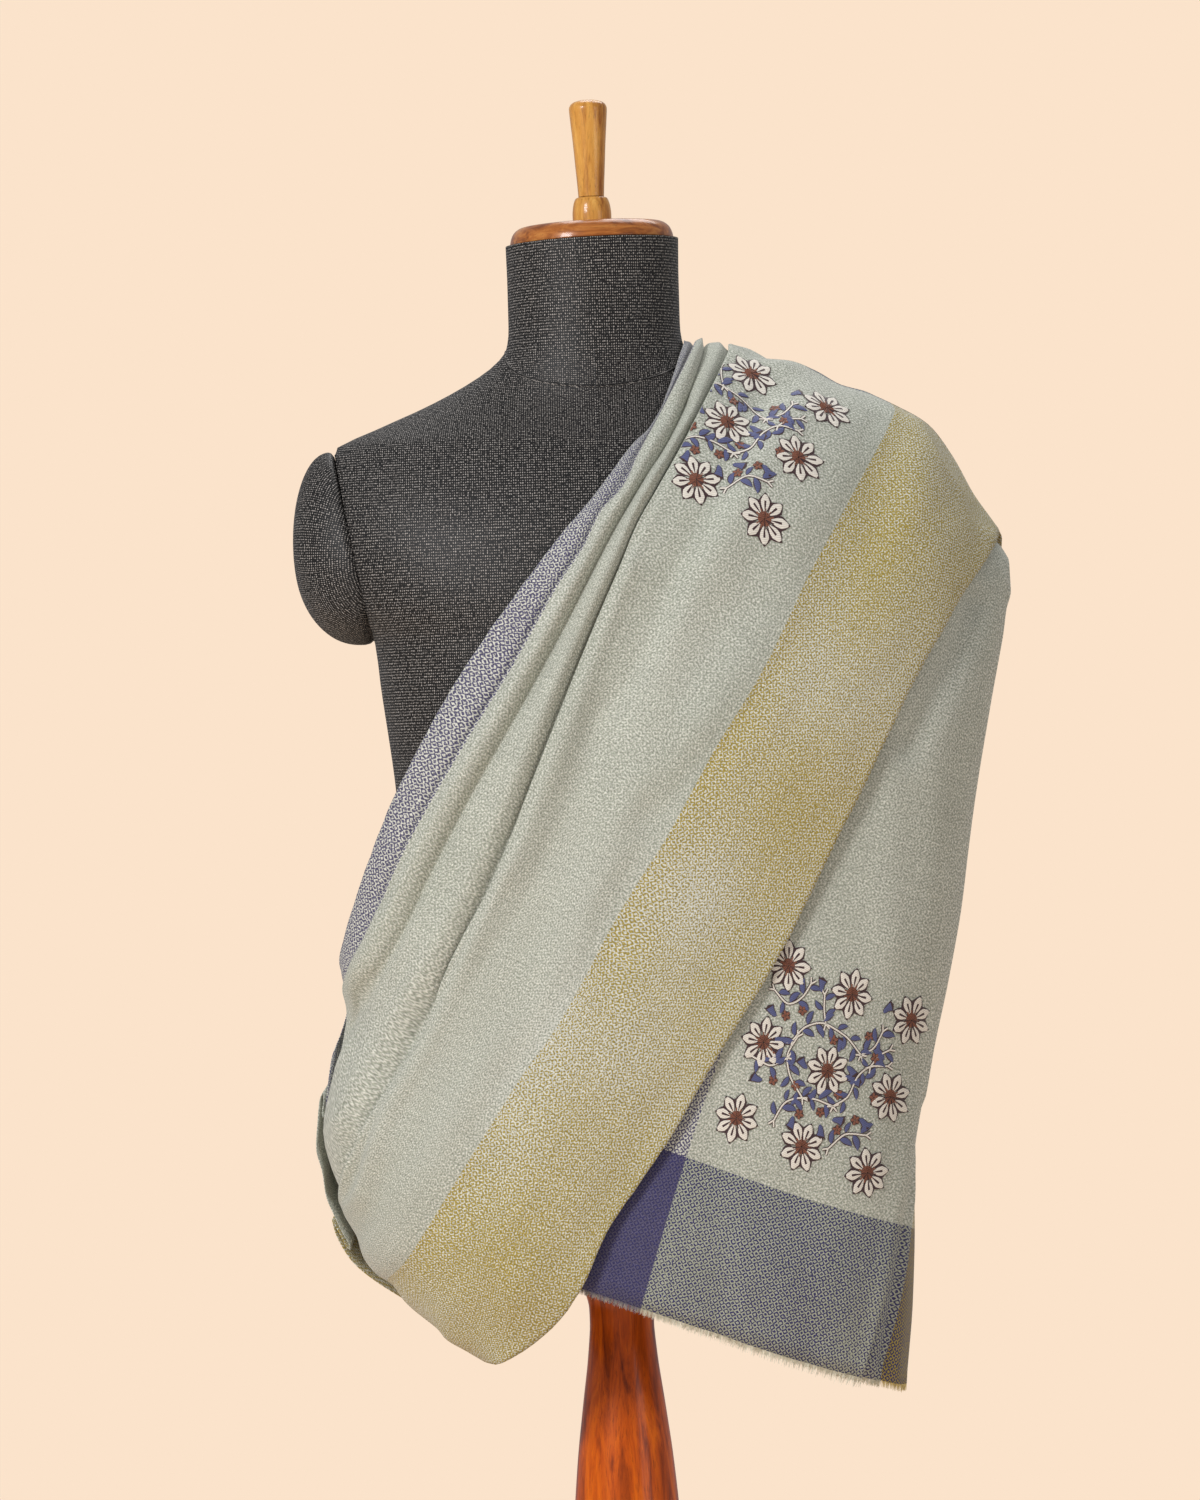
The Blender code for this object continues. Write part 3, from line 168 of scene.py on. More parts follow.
# ---- fold tables: a row for each column of the wall, across the width
# line: place between the lines above, 0 (edge) to 5 (selvedge); lift: mm off the resting
# surface or off the hanging end where that lies beneath; fade: share of the lift at the hip
SASH_FOLDS = table(
    "line lift fade",
    (0.0, 1.2, 1.0), (0.5, 3.4, 1.0), (0.95, 2.9, 1.0), (1.22, 2.5, 1.0), (1.42, 2.5, 1.0),
    (1.5, 3.9, 1.0), (1.42, 5.2, 1.0), (1.2, 5.3, 1.0), (1.04, 5.8, 1.0), (0.97, 7.4, 1.0),
    (1.08, 9.2, 1.0), (1.45, 10.6, 0.9), (1.8, 8.0, 0.9), (2.0, 4.4, 1.3), (2.2, 8.4, 0.9),
    (2.55, 10.4, 0.9), (2.9, 7.2, 0.9), (3.02, 5.2, 1.0), (3.1, 4.4, 1.0), (3.17, 4.2, 1.0),
    (3.2, 5.6, 1.0), (3.17, 7.0, 1.0), (3.09, 7.3, 1.0), (3.015, 8.2, 1.0), (2.985, 9.9, 0.95),
    (3.02, 10.9, 0.9), (3.1, 10.2, 0.9), (3.2, 8.8, 1.0), (3.33, 4.4, 1.7), (3.5, 2.8, 2.2),
    (3.72, 3.6, 2.4), (3.9, 4.2, 2.1), (4.0, 3.6, 2.2), (4.12, 2.8, 2.0), (4.3, 4.6, 1.9),
    (4.5, 6.0, 1.5), (4.7, 5.6, 1.3), (4.88, 4.2, 1.5), (5.0, 3.4, 1.7),
)

# back stretch: its upper edge and selvedge, from the ridge to the hip, in mm
BACK_LINES = table(
    "share edge selvedge",
    (0.0, (120, 1352), (262, 1242)), (0.2, (82, 1262), (210, 1112)), (0.4, (10, 1190), (130, 988)),
    (0.6, (-66, 1112), (54, 872)), (0.8, (-138, 1022), (-22, 758)),
)
BACK_HIP_HEIGHTS = (930, 682)
# how far behind the hip's outline its folded front edge lies: share across, degrees
BACK_START_ANGLES = ((0.0, 17), (0.3, 6.5), (0.5, 4), (0.75, 6), (1.0, 10))
# across: 0 (edge) to 1 (selvedge); shoulder, mid, hip: lift in mm at those places
BACK_FOLDS = table(
    "across shoulder mid hip",
    (0.00, 2.4, 4.4, 17.0), (0.08, 2.4, 5.2, 17.4), (0.16, 2.4, 4.4, 17.0), (0.22, 2.4, 3.0, 15.6),
    (0.27, 2.4, 2.8, 14.8), (0.31, 2.4, 2.6, 14.4), (0.32, 3.6, 4.1, 15.8), (0.31, 4.9, 5.6, 16.8),
    (0.27, 5.1, 6.2, 17.2), (0.255, 6.7, 8.0, 18.6), (0.27, 8.2, 9.8, 20.0), (0.33, 8.2, 10.6, 19.2),
    (0.40, 8.2, 8.4, 18.6), (0.47, 8.2, 6.8, 19.5), (0.53, 8.2, 8.2, 22.5), (0.58, 8.2, 8.4, 21.2),
    (0.63, 8.2, 7.8, 19.6), (0.67, 8.2, 7.6, 19.2), (0.68, 9.4, 9.1, 20.6), (0.67, 10.6, 10.6, 22.0),
    (0.63, 10.8, 11.2, 22.4), (0.595, 12.2, 13.0, 24.0), (0.63, 13.6, 14.6, 25.4),
    (0.70, 13.4, 14.0, 25.0), (0.77, 13.4, 10.5, 22.0), (0.84, 13.4, 8.6, 18.5), (0.90, 13.4, 9.4, 16.5),
    (0.95, 13.4, 8.6, 15.0), (1.00, 13.4, 7.0, 13.6),
)

# hanging end: left edge and the three right folds, share 0 at the ridge to 1 at the hem, mm
HANG_LINES = table(
    "share left inset_1 inset_2 inset_3",
    (0.00, 152, 1.0, 3.0, 5.0), (0.08, 122, 1.0, 2.5, 4.0), (0.15, 102, 1.0, 2.0, 3.0),
    (0.30, 66, 1.0, 1.5, 2.0), (0.50, 26, 1.5, 1.0, 1.0), (0.65, 3, 3.0, 1.0, 0.5),
    (0.75, -12, 11.0, 3.0, 0.3), (0.87, -31, 26.0, 12.0, 0.3), (1.00, -51, 39.0, 24.0, 0.3),
)
HANG_TOP_RIGHT = 275
HEM_HEIGHT = 729
HEM_SLOPE = -0.374
HANG_LEFT_INSET = (0, 5, 3, 7, 5)
HANG_COLUMNS = 7
COLUMN_CROWDING = 1.8
HANG_ROWS = 17
HANG_ROW_POWER = 1.8
# the passes' places in the stack, in mm: the first one's lift, the room kept above the last
PASS_FIRST_LIFT = 1.5
PASS_TOP_ROOM = 1.8
PASS_SPACES = 4.4
# how far a fold between two passes bulges past them
FOLD_OUT = 1.2
# share of the length in which the folds swing out from the ridge to the full reach
HANG_SWING = 0.08
HANG_HEM_LEVEL = 0.66
SASH_ROWS = 26
# shares of the length between which a fold's lift changes to its lift at the hip
SASH_FADE = (0.55, 0.84)
BACK_SPREAD = (0.20, 0.45)
BACK_GATHER = (0.56, 0.82)
RIDGE_EASE = 0.4
# the sash's path runs on past the hip's outline by this share of itself
WRAP_SHARE = 1.1
PATH_POINTS = 300
BACK_ROWS = 21
END_ROWS = 7
ROW_CROWDING = 1.3
NORMAL_EASING = 6
END_FALL = 0.128
END_REACH = 0.20
END_INSET = 0.004
END_SPREAD = 0.03
# thickness of the hanging end's stack of passes: at the shoulder and from the chest down
STACK_SHOULDER = 15.5
STACK_CHEST = 12.5
STACK_EASE = 2.1
STACK_BEHIND_EDGE = 7.0
STACK_BEHIND = 19.0
STACK_BEHIND_SPREAD = 0.09
STACK_MARGIN = 0.018
# below the hem the sash hangs free: the heights between which its stand-off eases, and the
# share of it that is left
FREE_HEIGHTS = (0.69, 0.75)
FREE_SHARE = 0.35
# heights between which the stack and its ramp change from shoulder to chest
STACK_CHANGE = (1.12, 1.30)
RAMP_CHANGE = (1.33, 1.00)
# how far past the stack's left edge the sash takes to come down to the form
STACK_RAMP_SHOULDER = 0.024
STACK_RAMP_HIP = 0.050


# ---- helpers
def curve_through(knots, values):
    """A smooth curve with no overshoot through (knot, value) pairs, as a function."""
    k = np.asarray(knots, float)
    v = np.asarray(values, float)
    trail = (1,) * (v.ndim - 1)
    step = np.diff(k).reshape(-1, *trail)
    rise = np.diff(v, axis=0) / step
    slope = np.empty_like(v)
    slope[0], slope[-1] = rise[0], rise[-1]
    before, after = rise[:-1], rise[1:]
    same = before * after > 0
    weight_a = 2 * step[1:] + step[:-1]
    weight_b = step[1:] + 2 * step[:-1]
    safe_before = np.where(same, before, 1.0)
    safe_after = np.where(same, after, 1.0)
    mean = (weight_a + weight_b) / (weight_a / safe_before + weight_b / safe_after)
    slope[1:-1] = np.where(same, mean, 0.0)

    def at(x):
        x = np.clip(x, k[0], k[-1])
        i = np.clip(np.searchsorted(k, x, side="right") - 1, 0, len(step) - 1)
        t = (x - k[i]).reshape(np.shape(x) + trail) / step[i]
        start = (1 + 2 * t) * (1 - t) ** 2 * v[i] + t * (1 - t) ** 2 * step[i] * slope[i]
        end = t * t * (3 - 2 * t) * v[i + 1] + t * t * (t - 1) * step[i] * slope[i + 1]
        return start + end

    return at


def curve_mm(knots, values):
    """A smooth curve through columns of mm, in metres."""
    return curve_through(knots * MM, values * MM)


def eased_run():
    """Shares from 0 to 1, closest together at the ridge, where the surface turns over."""
    return 1 - np.cos(np.linspace(0, math.pi / 2, PATH_POINTS))


def smoothstep(low, high, x):
    t = np.clip((x - low) / (high - low), 0, 1)
    return t * t * (3 - 2 * t)


def unit(vectors):
    """Vectors brought to a length of 1."""
    return vectors / np.maximum(np.linalg.norm(vectors, axis=-1, keepdims=True), 1e-9)


def heading(angle):
    """The flat unit vector at an angle, or one for each of several."""
    return np.stack([np.cos(angle), np.sin(angle)], axis=-1)


def runs(points, axis):
    """Length run along a grid's rows or columns up to each point."""
    steps = np.linalg.norm(np.diff(points, axis=axis), axis=-1)
    start = np.zeros_like(np.take(steps, [0], axis=axis))
    return np.concatenate([start, np.cumsum(steps, axis=axis)], axis=axis)


FORM_HALF, FORM_FRONT, FORM_BACK = (curve_mm(FORM_LEVELS.height, c) for c in FORM_LEVELS[1:4])
FORM_POWER = curve_through(FORM_LEVELS.height * MM, FORM_LEVELS.power)
RIDGE_HEIGHT = curve_mm(*SHOULDER_RIDGE)
REACH_LEFT, REACH_RIGHT = (curve_mm(CLOTH_REACH.height, c) for c in CLOTH_REACH[1:])
DEPTH_FRONT, DEPTH_BACK = (curve_mm(CLOTH_DEPTH.height, c) for c in CLOTH_DEPTH[1:])


def form_depth(x, z, behind, grow=0.0):
    """How far the form, grown by a clearance, reaches in front of or behind its middle."""
    level = z - grow
    half = FORM_HALF(level) + grow
    deep = np.where(behind, FORM_BACK(level), FORM_FRONT(level)) + grow
    power = FORM_POWER(level)
    share = np.clip(np.abs(x) / half, 0, 1)
    return deep * (1 - share ** power) ** (1 / power)


def seam_x(z):
    """The tilted plane where an arm cap meets the torso."""
    (top_x, top_z), (foot_x, foot_z) = ARM_SEAM_TOP, ARM_SEAM_FOOT
    return foot_x + (top_x - foot_x) * (z - foot_z) / (top_z - foot_z)


def cap_section(out, above):
    """Size, depth and height factors and rise of an arm cap at a share of its reach."""
    size = (1 - out ** ARM_CAP_POWER) ** (1 / ARM_CAP_POWER)
    power = np.where(above, ARM_CAP_POWER_ABOVE, ARM_CAP_POWER_BELOW)
    swell = 1 + np.where(above, 0, ARM_CAP_SWELL) * np.sin(math.pi * out)
    tall = (1 - out ** power) ** (1 / power) * swell
    return size, size * (1 - ARM_CAP_NARROWING * out), tall, ARM_CAP_RISE * out


def cap_depth(x, z, behind, grow):
    """How far an arm cap, grown by a clearance, reaches in front of or behind its middle."""
    middle = (ARM_SEAM_TOP[1] + ARM_SEAM_FOOT[1]) / 2
    half_height = (ARM_SEAM_TOP[1] - ARM_SEAM_FOOT[1]) / 2
    out = np.clip((np.abs(x) - seam_x(z)) / (ARM_CAP_REACH + grow - seam_x(z)), 0, 0.99)
    _, narrow, tall, rise = cap_section(out, z > middle + ARM_CAP_RISE * out)
    level = middle + (z - rise - middle) / tall
    deep = form_depth(seam_x(level), level, behind) * narrow + grow
    return np.where((np.abs(level - middle) < half_height) & (out > 0) & (out < 0.99), deep, 0.0)


def side_shape(right, z):
    """Reach and roundness of the resting surface on one side at height z."""
    return np.where(right, REACH_RIGHT(z), REACH_LEFT(z)), np.where(right, RIGHT_POWER, LEFT_POWER)


def ring_angle(x, z):
    """Angle round the resting surface at height z, 0 on +X and a half turn on -X."""
    half, power = side_shape(x >= 0, z)
    share = np.clip(np.abs(x) / half, 0, 1)
    return np.arccos(np.sign(x) * share ** (power / 2))


def shoulder_arch(x, z):
    """1 from the chest down, falling to 0 on the ridge of the shoulder."""
    rise = (z - ARCH_FOOT) / (RIDGE_HEIGHT(x) - ARCH_FOOT)
    return (1 - np.clip(rise, 0, 1) ** ARCH_RISE_POWER) ** ARCH_ROOF_POWER


def resting_point(angle, z):
    """Points of the resting surface: 0 to half a turn in front, on to a full turn behind."""
    cosine, sine = np.cos(angle), np.sin(angle)
    behind = sine < 0
    half, power = side_shape(cosine >= 0, z)
    x = half * np.sign(cosine) * np.abs(cosine) ** (2 / power)
    span = np.where(behind, DEPTH_BACK(z), DEPTH_FRONT(z))
    tent = span * np.abs(sine) ** (2 / power) * shoulder_arch(x, z)
    form = form_depth(x, z, behind, FORM_CLEARANCE)
    form = np.maximum(form, cap_depth(x, z, behind, FORM_CLEARANCE))
    blend = FILLET * np.clip(tent / FILLET_FULL_DEPTH, 0, 1)
    close = np.clip(blend - np.abs(tent - form), 0, None)
    deep = np.maximum(tent, form) + close ** 2 / (4 * np.maximum(blend, 1e-6))
    y = np.where(behind, deep, -deep)
    return np.stack([x, y, z * np.ones_like(x)], axis=-1)


def stations(path, count, fall=None):
    """Points along a dense path, closest at its start; all of it or its first length fall."""
    run = runs(path, 0)
    wanted = (run[-1] if fall is None else fall) * np.linspace(0, 1, count) ** ROW_CROWDING
    return np.stack([np.interp(wanted, run, path[:, k]) for k in range(3)], axis=1)


def across(grid, knots, places):
    """Smoothly interpolated columns of a grid of guide lines, at fractional line numbers."""
    rows = []
    for line in grid:
        curves = [curve_through(knots, line[:, k]) for k in range(3)]
        rows.append(np.stack([curve(places) for curve in curves], axis=1))
    return np.array(rows)


def surface_angle(points):
    """The ring angle of points on or near the resting surface, in front or behind."""
    x, y, z = points[..., 0], points[..., 1], points[..., 2]
    half, power = side_shape(x >= 0, z)
    span = np.where(y > 0, DEPTH_BACK(z), DEPTH_FRONT(z)) * np.maximum(shoulder_arch(x, z), 0.1)
    depth_share = np.abs(y / span) ** (power / 2)
    by_both = np.arctan2(depth_share, np.sign(x) * np.abs(x / half) ** (power / 2))
    side = smoothstep(SIDE_FROM, SIDE_FULL, np.abs(x / half))
    angle = ring_angle(x, z) * (1 - side) + by_both * side
    return np.where(y > 0, TURN - angle, angle)


def outward(angle, z):
    """Outward unit normals of the resting surface."""
    side = resting_point(angle - NORMAL_TURN, z) - resting_point(angle + NORMAL_TURN, z)
    down = resting_point(angle, z - NORMAL_STEP) - resting_point(angle, z + NORMAL_STEP)
    return unit(np.cross(down, side))


def ridge_normal(x):
    """Unit normals of the shoulder ridge in its own plane."""
    step = 2 * NORMAL_STEP
    slope = (RIDGE_HEIGHT(x + step) - RIDGE_HEIGHT(x - step)) / (2 * step)
    return unit(np.stack([-slope, np.zeros_like(x), np.ones_like(x)], axis=-1))


def eased(rows):
    """Unit vectors of a grid averaged with their neighbours along and across."""
    for _ in range(NORMAL_EASING):
        padded = np.pad(rows, ((1, 1), (1, 1), (0, 0)), mode="edge")
        near = padded[:-2, 1:-1] + padded[2:, 1:-1] + padded[1:-1, :-2] + padded[1:-1, 2:]
        rows = unit(np.concatenate([rows[:1], (rows + near)[1:] / 5]))
    return rows


def frames(lines, knots, places):
    """Points of the resting surface, and eased unit normals, at fractional line numbers."""
    guide_normals = outward(surface_angle(lines), lines[:, :, 2])
    guide_normals[0] = ridge_normal(lines[0, :, 0])
    normal = unit(across(eased(guide_normals), knots, places))
    near = across(lines, knots, places)
    hug = smoothstep(HUG_NONE, HUG_FULL, near[:, :, 2:])
    hug[0] = 0.0
    base = near + (resting_point(surface_angle(near), near[:, :, 2]) - near) * hug
    return base, normal


def between(row, guide):
    """The value between two lines of several, at a fractional line number."""
    low = min(int(guide), len(row) - 2)
    first, second = np.array(row[low], float), np.array(row[low + 1], float)
    return first + (second - first) * (guide - low)


def hanging_left_edge():
    """Heights from low to high, and x, of the hanging end's left edge."""
    left = HANG_LINES.left * MM
    top = RIDGE_HEIGHT(left[0])
    hem = HEM_HEIGHT * MM + HEM_SLOPE * left[-1]
    return (top + (hem - top) * HANG_LINES.share)[::-1], left[::-1]


def stack_height(z):
    """Thickness in mm of the hanging end's stack at a height."""
    return STACK_CHEST + (STACK_SHOULDER - STACK_CHEST) * smoothstep(*STACK_CHANGE, z)


def beside_stack(x, z, edge_z, edge_x):
    """1 over the passes beneath, easing off to 0 past their left edge."""
    growth = STACK_RAMP_HIP - STACK_RAMP_SHOULDER
    ramp = STACK_RAMP_SHOULDER + growth * smoothstep(*RAMP_CHANGE, z)
    beside = x - np.interp(z, edge_z, edge_x) + STACK_MARGIN
    return smoothstep(-ramp, 0.0, beside)


# ---- cloth stretches as grids of points, rows along the length
Stretch = namedtuple("Stretch", "points outward lift")


def sash_lines():
    """Guide lines of the sash from the ridge round the hip, as rows of 3-D points."""
    shares = [*SASH_LINES.share, 1.0, WRAP_SHARE]
    dense = eased_run() * WRAP_SHARE
    lines = []
    for guide in SASH_GUIDES:
        spots = between(SASH_LINES[1:], guide) * MM
        hip = between(HIP_HEIGHTS, guide) * MM
        drop = between(WRAP_DROP, guide) * MM
        turn = math.pi + math.radians(between(WRAP_ANGLES, guide))
        angles = np.append(ring_angle(spots[:, 0], spots[:, 1]), [math.pi, turn])
        heights = np.append(spots[:, 1], [hip, hip - drop])
        heights[0] = RIDGE_HEIGHT(spots[0, 0])
        angle, height = (curve_through(shares, values)(dense) for values in (angles, heights))
        path = resting_point(angle, height)
        path[0, 1] = -SEAM_GAP / 2
        lines.append(stations(path, SASH_ROWS))
    return np.stack(lines, axis=1)


def shoulder_end_lines():
    """The guide lines of the sash carried on over the ridge and down behind the shoulder."""
    lines = []
    for guide in SASH_GUIDES:
        x = between(SASH_LINES[1:], guide)[0, 0] * MM
        heights = RIDGE_HEIGHT(x) - END_REACH * eased_run()
        inside = REACH_RIGHT(heights) - END_INSET - END_SPREAD * (SASH_GUIDES[-1] - guide)
        sideways = np.minimum(x * np.ones_like(heights), inside)
        sideways[0] = x
        path = resting_point(TURN - ring_angle(sideways, heights), heights)
        path[0, 1] = SEAM_GAP / 2
        lines.append(stations(path, END_ROWS, END_FALL))
    return np.stack(lines, axis=1)


def lifted(base, normal, lifts):
    """A stretch that stands off the resting surface by rows x columns of lifts in mm."""
    lifts = lifts * np.ones(base.shape[:2])
    return Stretch(base + normal * lifts[:, :, None] * MM, normal, lifts)


@functools.cache
def sash_grid():
    base, normal = frames(sash_lines(), SASH_GUIDES, SASH_FOLDS.line)
    share = np.linspace(0, 1, SASH_ROWS)[:, None] ** ROW_CROWDING
    kept = 1 + (SASH_FOLDS.fade - 1) * smoothstep(*SASH_FADE, share)
    over = beside_stack(base[:, :, 0], base[:, :, 2], *hanging_left_edge()) * (base[:, :, 1] < 0)
    over = over * (FREE_SHARE + (1 - FREE_SHARE) * smoothstep(*FREE_HEIGHTS, base[:, :, 2]))
    over = over * (stack_height(base[:, :, 2]) + STACK_EASE)
    grid = lifted(base, normal, SASH_FOLDS.lift * kept + over)
    grid.points[0, :, 1] = -SEAM_GAP / 2
    return grid


@functools.cache
def shoulder_end_grid():
    """The sash's columns carried on from its row on the ridge."""
    base, normal = frames(shoulder_end_lines(), SASH_GUIDES, SASH_FOLDS.line)
    edge_x, edge_z = BACK_LINES.edge[::-1].T * MM
    beside = beside_stack(base[:, :, 0], base[:, :, 2], edge_z, edge_x)
    past_edge = base[:, :, 0] - np.interp(base[:, :, 2], edge_z, edge_x)
    spread = smoothstep(0.0, STACK_BEHIND_SPREAD, past_edge)
    stack = STACK_BEHIND_EDGE + (STACK_BEHIND - STACK_BEHIND_EDGE) * spread
    grid = lifted(base, normal, SASH_FOLDS.lift + beside * stack)
    grid.points[0] = sash_grid().points[0]
    grid.points[0, :, 1] = SEAM_GAP / 2
    return grid


@functools.cache
def back_grid():
    """The back stretch: from the ridge, spreading across the back to its fold at the hip."""
    start_angle = curve_through(*zip(*BACK_START_ANGLES))
    shares = [*BACK_LINES.share, 1.0]
    lines = []
    for guide in BACK_GUIDES:
        x, heights = between(BACK_LINES[1:], guide).T * MM
        raise_by = RIDGE_HEIGHT(x[0]) - heights[0]
        heights = heights + raise_by * np.clip(1 - BACK_LINES.share / RIDGE_EASE, 0, 1) ** 2
        start = math.pi + math.radians(float(start_angle(guide)))
        angles = np.append(TURN - ring_angle(x, heights), start)
        heights = np.append(heights, between(BACK_HIP_HEIGHTS, guide) * MM)
        path = resting_point(*(curve_through(shares, c)(eased_run()) for c in (angles, heights)))
        path[0, 1] = SEAM_GAP / 2
        lines.append(stations(path, BACK_ROWS))
    share = np.linspace(0, 1, BACK_ROWS)[:, None] ** ROW_CROWDING
    lifts = BACK_FOLDS.shoulder
    lifts = lifts + (BACK_FOLDS.mid - lifts) * smoothstep(*BACK_SPREAD, share)
    lifts = lifts + (BACK_FOLDS.hip - lifts) * smoothstep(*BACK_GATHER, share)
    return lifted(*frames(np.stack(lines, axis=1), BACK_GUIDES, BACK_FOLDS.across), lifts)


@functools.cache
def hanging_grid():
    """The hanging end: five passes between its left edge and its right folds."""
    rows = np.linspace(0, 1, HANG_ROWS) ** HANG_ROW_POWER
    left_x, *insets = (curve_through(HANG_LINES.share, c * MM)(rows) for c in HANG_LINES[1:])
    top_x = HANG_TOP_RIGHT * MM
    columns = []

    def column(place, inset_left, right, lift, out=0.0):
        """place 0 at the left edge to 1 at a right fold; lift counts passes from the form."""
        edge_x = left_x + inset_left * MM
        start_x = edge_x[0] + (top_x - insets[right][0] - edge_x[0]) * place
        start_z = RIDGE_HEIGHT(start_x)
        hem_right = REACH_RIGHT(HANG_HEM_LEVEL) - insets[right][-1]
        hem_x = edge_x[-1] + (hem_right - edge_x[-1]) * place
        hem_z = HEM_HEIGHT * MM + HEM_SLOPE * hem_x
        z = start_z + (hem_z - start_z) * rows
        swung = top_x + (REACH_RIGHT(z) - top_x) * smoothstep(0, HANG_SWING, rows)
        fold_x = np.minimum(REACH_RIGHT(z), swung) - insets[right]
        x = edge_x + (fold_x - edge_x) * place
        columns.append((np.where(rows == 0, start_x, x), z, lift, out * MM))

    last = len(HANG_LEFT_INSET) - 1
    for turned, inset in enumerate(HANG_LEFT_INSET):
        first, right = turned % 2, turned // 2
        for place in np.linspace(first, 1 - first, HANG_COLUMNS + 1):
            column(1 - (1 - place) ** COLUMN_CROWDING, inset, right, last - turned)
        if turned < last:
            column(1 - first, inset, right, last - turned - 0.5, FOLD_OUT * (1 - 2 * first))

    x, z, level, out = (np.stack(part, axis=-1) for part in zip(*columns))
    angle = ring_angle(x, z)
    base = resting_point(angle, z)
    base[0, :, 1] = -SEAM_GAP / 2
    normal = outward(angle, z)
    normal[0] = ridge_normal(x[0])
    wide = unit(resting_point(angle - NORMAL_TURN, z) - resting_point(angle + NORMAL_TURN, z))
    lift = PASS_FIRST_LIFT + level * (stack_height(z) - PASS_TOP_ROOM) / PASS_SPACES
    grid = lifted(base, normal, lift)
    grid.points[:] += wide * out[:, None]
    grid.points[0, :, 1] = -SEAM_GAP / 2
    return grid


# ---- how the cloth really lies: uneven creases and soft rolls
# width and depth in mm, below 0 for a ridge, then the (x, height) places of its path in mm
FRONT_CREASES = (
    (13, 2.2, (192, 1279), (177, 1238), (141, 1181), (106, 1138), (67, 1095), (29, 1058)),
    (12, 2.0, (29, 1058), (14, 1018), (-15, 967), (-51, 907), (-72, 880)),
    (12, 1.8, (210, 1309), (184, 1228), (155, 1167), (128, 1120)),
    (9, 2.2, (-71, 1008), (-111, 936), (-158, 845), (-171, 812)),
    (14, -1.6, (-30, 1010), (-78, 930), (-120, 850)),
    (5, 3.0, (-184, 837), (-184, 816)),
    (6, 2.0, (-158, 888), (-161, 882)),
    (14, 1.5, (118, 1240), (70, 1165), (28, 1100)),
    (16, -1.4, (150, 1262), (100, 1180), (62, 1120)),
    (12, 1.6, (40, 880), (-8, 800), (-40, 752)),
    (12, -1.5, (198, 1132), (194, 1050), (190, 961)),
    (10, 1.8, (70, 880), (66, 815), (68, 760), (70, 705)),
    (12, 1.0, (120, 800), (124, 745), (128, 690)),
    (10, 4.5, (257, 1200), (245, 1169), (228, 1138), (206, 1101)),
    (3.5, 2.2, (212, 853), (204, 802), (196, 769), (182, 700), (177, 670)),
    (6, -1.6, (203, 853), (195, 802), (187, 769), (173, 700), (168, 670)),
    (3, 1.8, (204, 802), (203, 761), (201, 720), (196, 663)),
    # the two rolls and the rolled edge of the main panel, with the valleys between them
    (8, -1.8, (13, 1290), (-21, 1237), (-55, 1183), (-91, 1130), (-122, 1076), (-154, 1022)),
    (4, 2.2, (50, 1341), (15, 1284), (-21, 1228), (-56, 1171), (-93, 1115), (-127, 1058), (-156, 1002)),
    (8, -2.8, (43, 1317), (2, 1255), (-34, 1192), (-71, 1131), (-110, 1069), (-145, 1006), (-179, 943)),
    (4, 3.0, (63, 1341), (25, 1280), (-11, 1218), (-45, 1157), (-82, 1095), (-117, 1034), (-150, 973),
        (-186, 911)),
    (9, -3.6, (38, 1290), (2, 1226), (-29, 1162), (-57, 1098), (-85, 1035), (-120, 971), (-157, 909),
        (-190, 852)),
    (4, 3.4, (63, 1321), (26, 1256), (-5, 1191), (-34, 1126), (-60, 1061), (-91, 997), (-124, 932),
        (-163, 867), (-188, 801)),
    (7, -3.0, (21, 1230), (-5, 1168), (-31, 1106), (-57, 1045), (-89, 983), (-120, 920), (-157, 859),
        (-178, 800)),
)
BACK_CREASES = (
    (12, 1.8, (170, 1240), (110, 1130), (40, 1020), (-40, 920)),
    (14, -1.6, (196, 1180), (140, 1070), (70, 960), (0, 860)),
    (10, 1.6, (60, 1190), (-10, 1110), (-90, 1010)),
    (12, 1.8, (-150, 900), (-60, 820), (20, 780)),
)
LIE_OF_LENGTH = (-0.52, -0.854)
# soft waves of the cloth: length and width in metres, height in mm, seed
SASH_WAVES = ((0.17, 0.045, 1.5, 3.0), (0.06, 0.020, 0.6, 8.0))
HANGING_WAVES = ((0.22, 0.040, 1.3, 5.0), (0.08, 0.018, 0.5, 9.0))
BACK_WAVES = ((0.17, 0.045, 1.5, 13.0),)
# metres past the yellow selvedge in which one kind of waves gives way to the other
SELVEDGE_EASE = 0.03
# mean lift in mm, and metres from the ridge in which the relief sets in
RELIEF_BASE = 0.5
RELIEF_FADE = 0.022
# least mm that a stretch stays off what lies under it
CONTACT_ROOM = 1.7


def wandering(along, across, seed):
    """Smooth noise, about -1 to 1, at two arrays of coordinates."""
    places = zip(np.ravel(along), np.ravel(across))
    return np.array([noise.noise((a, b, seed)) for a, b in places]).reshape(np.shape(along))


def crease_depth(x, z, width, depth, *path):
    """How deep one crease is, in mm, at arrays of places."""
    path = np.array(path) * MM
    nearest = np.full(x.shape, np.inf)
    for start, way in zip(path, np.diff(path, axis=0)):
        share = np.clip(((x - start[0]) * way[0] + (z - start[1]) * way[1]) / way.dot(way), 0, 1)
        off = np.hypot(x - start[0] - share * way[0], z - start[1] - share * way[1])
        nearest = np.minimum(nearest, off)
    return depth * np.exp(-((nearest / (width * MM)) ** 2))


def waves(rows, along, across):
    """The sum in mm of soft waves at two arrays of coordinates."""
    return sum(high * wandering(along / long, across / wide, seed) for long, wide, high, seed in rows)


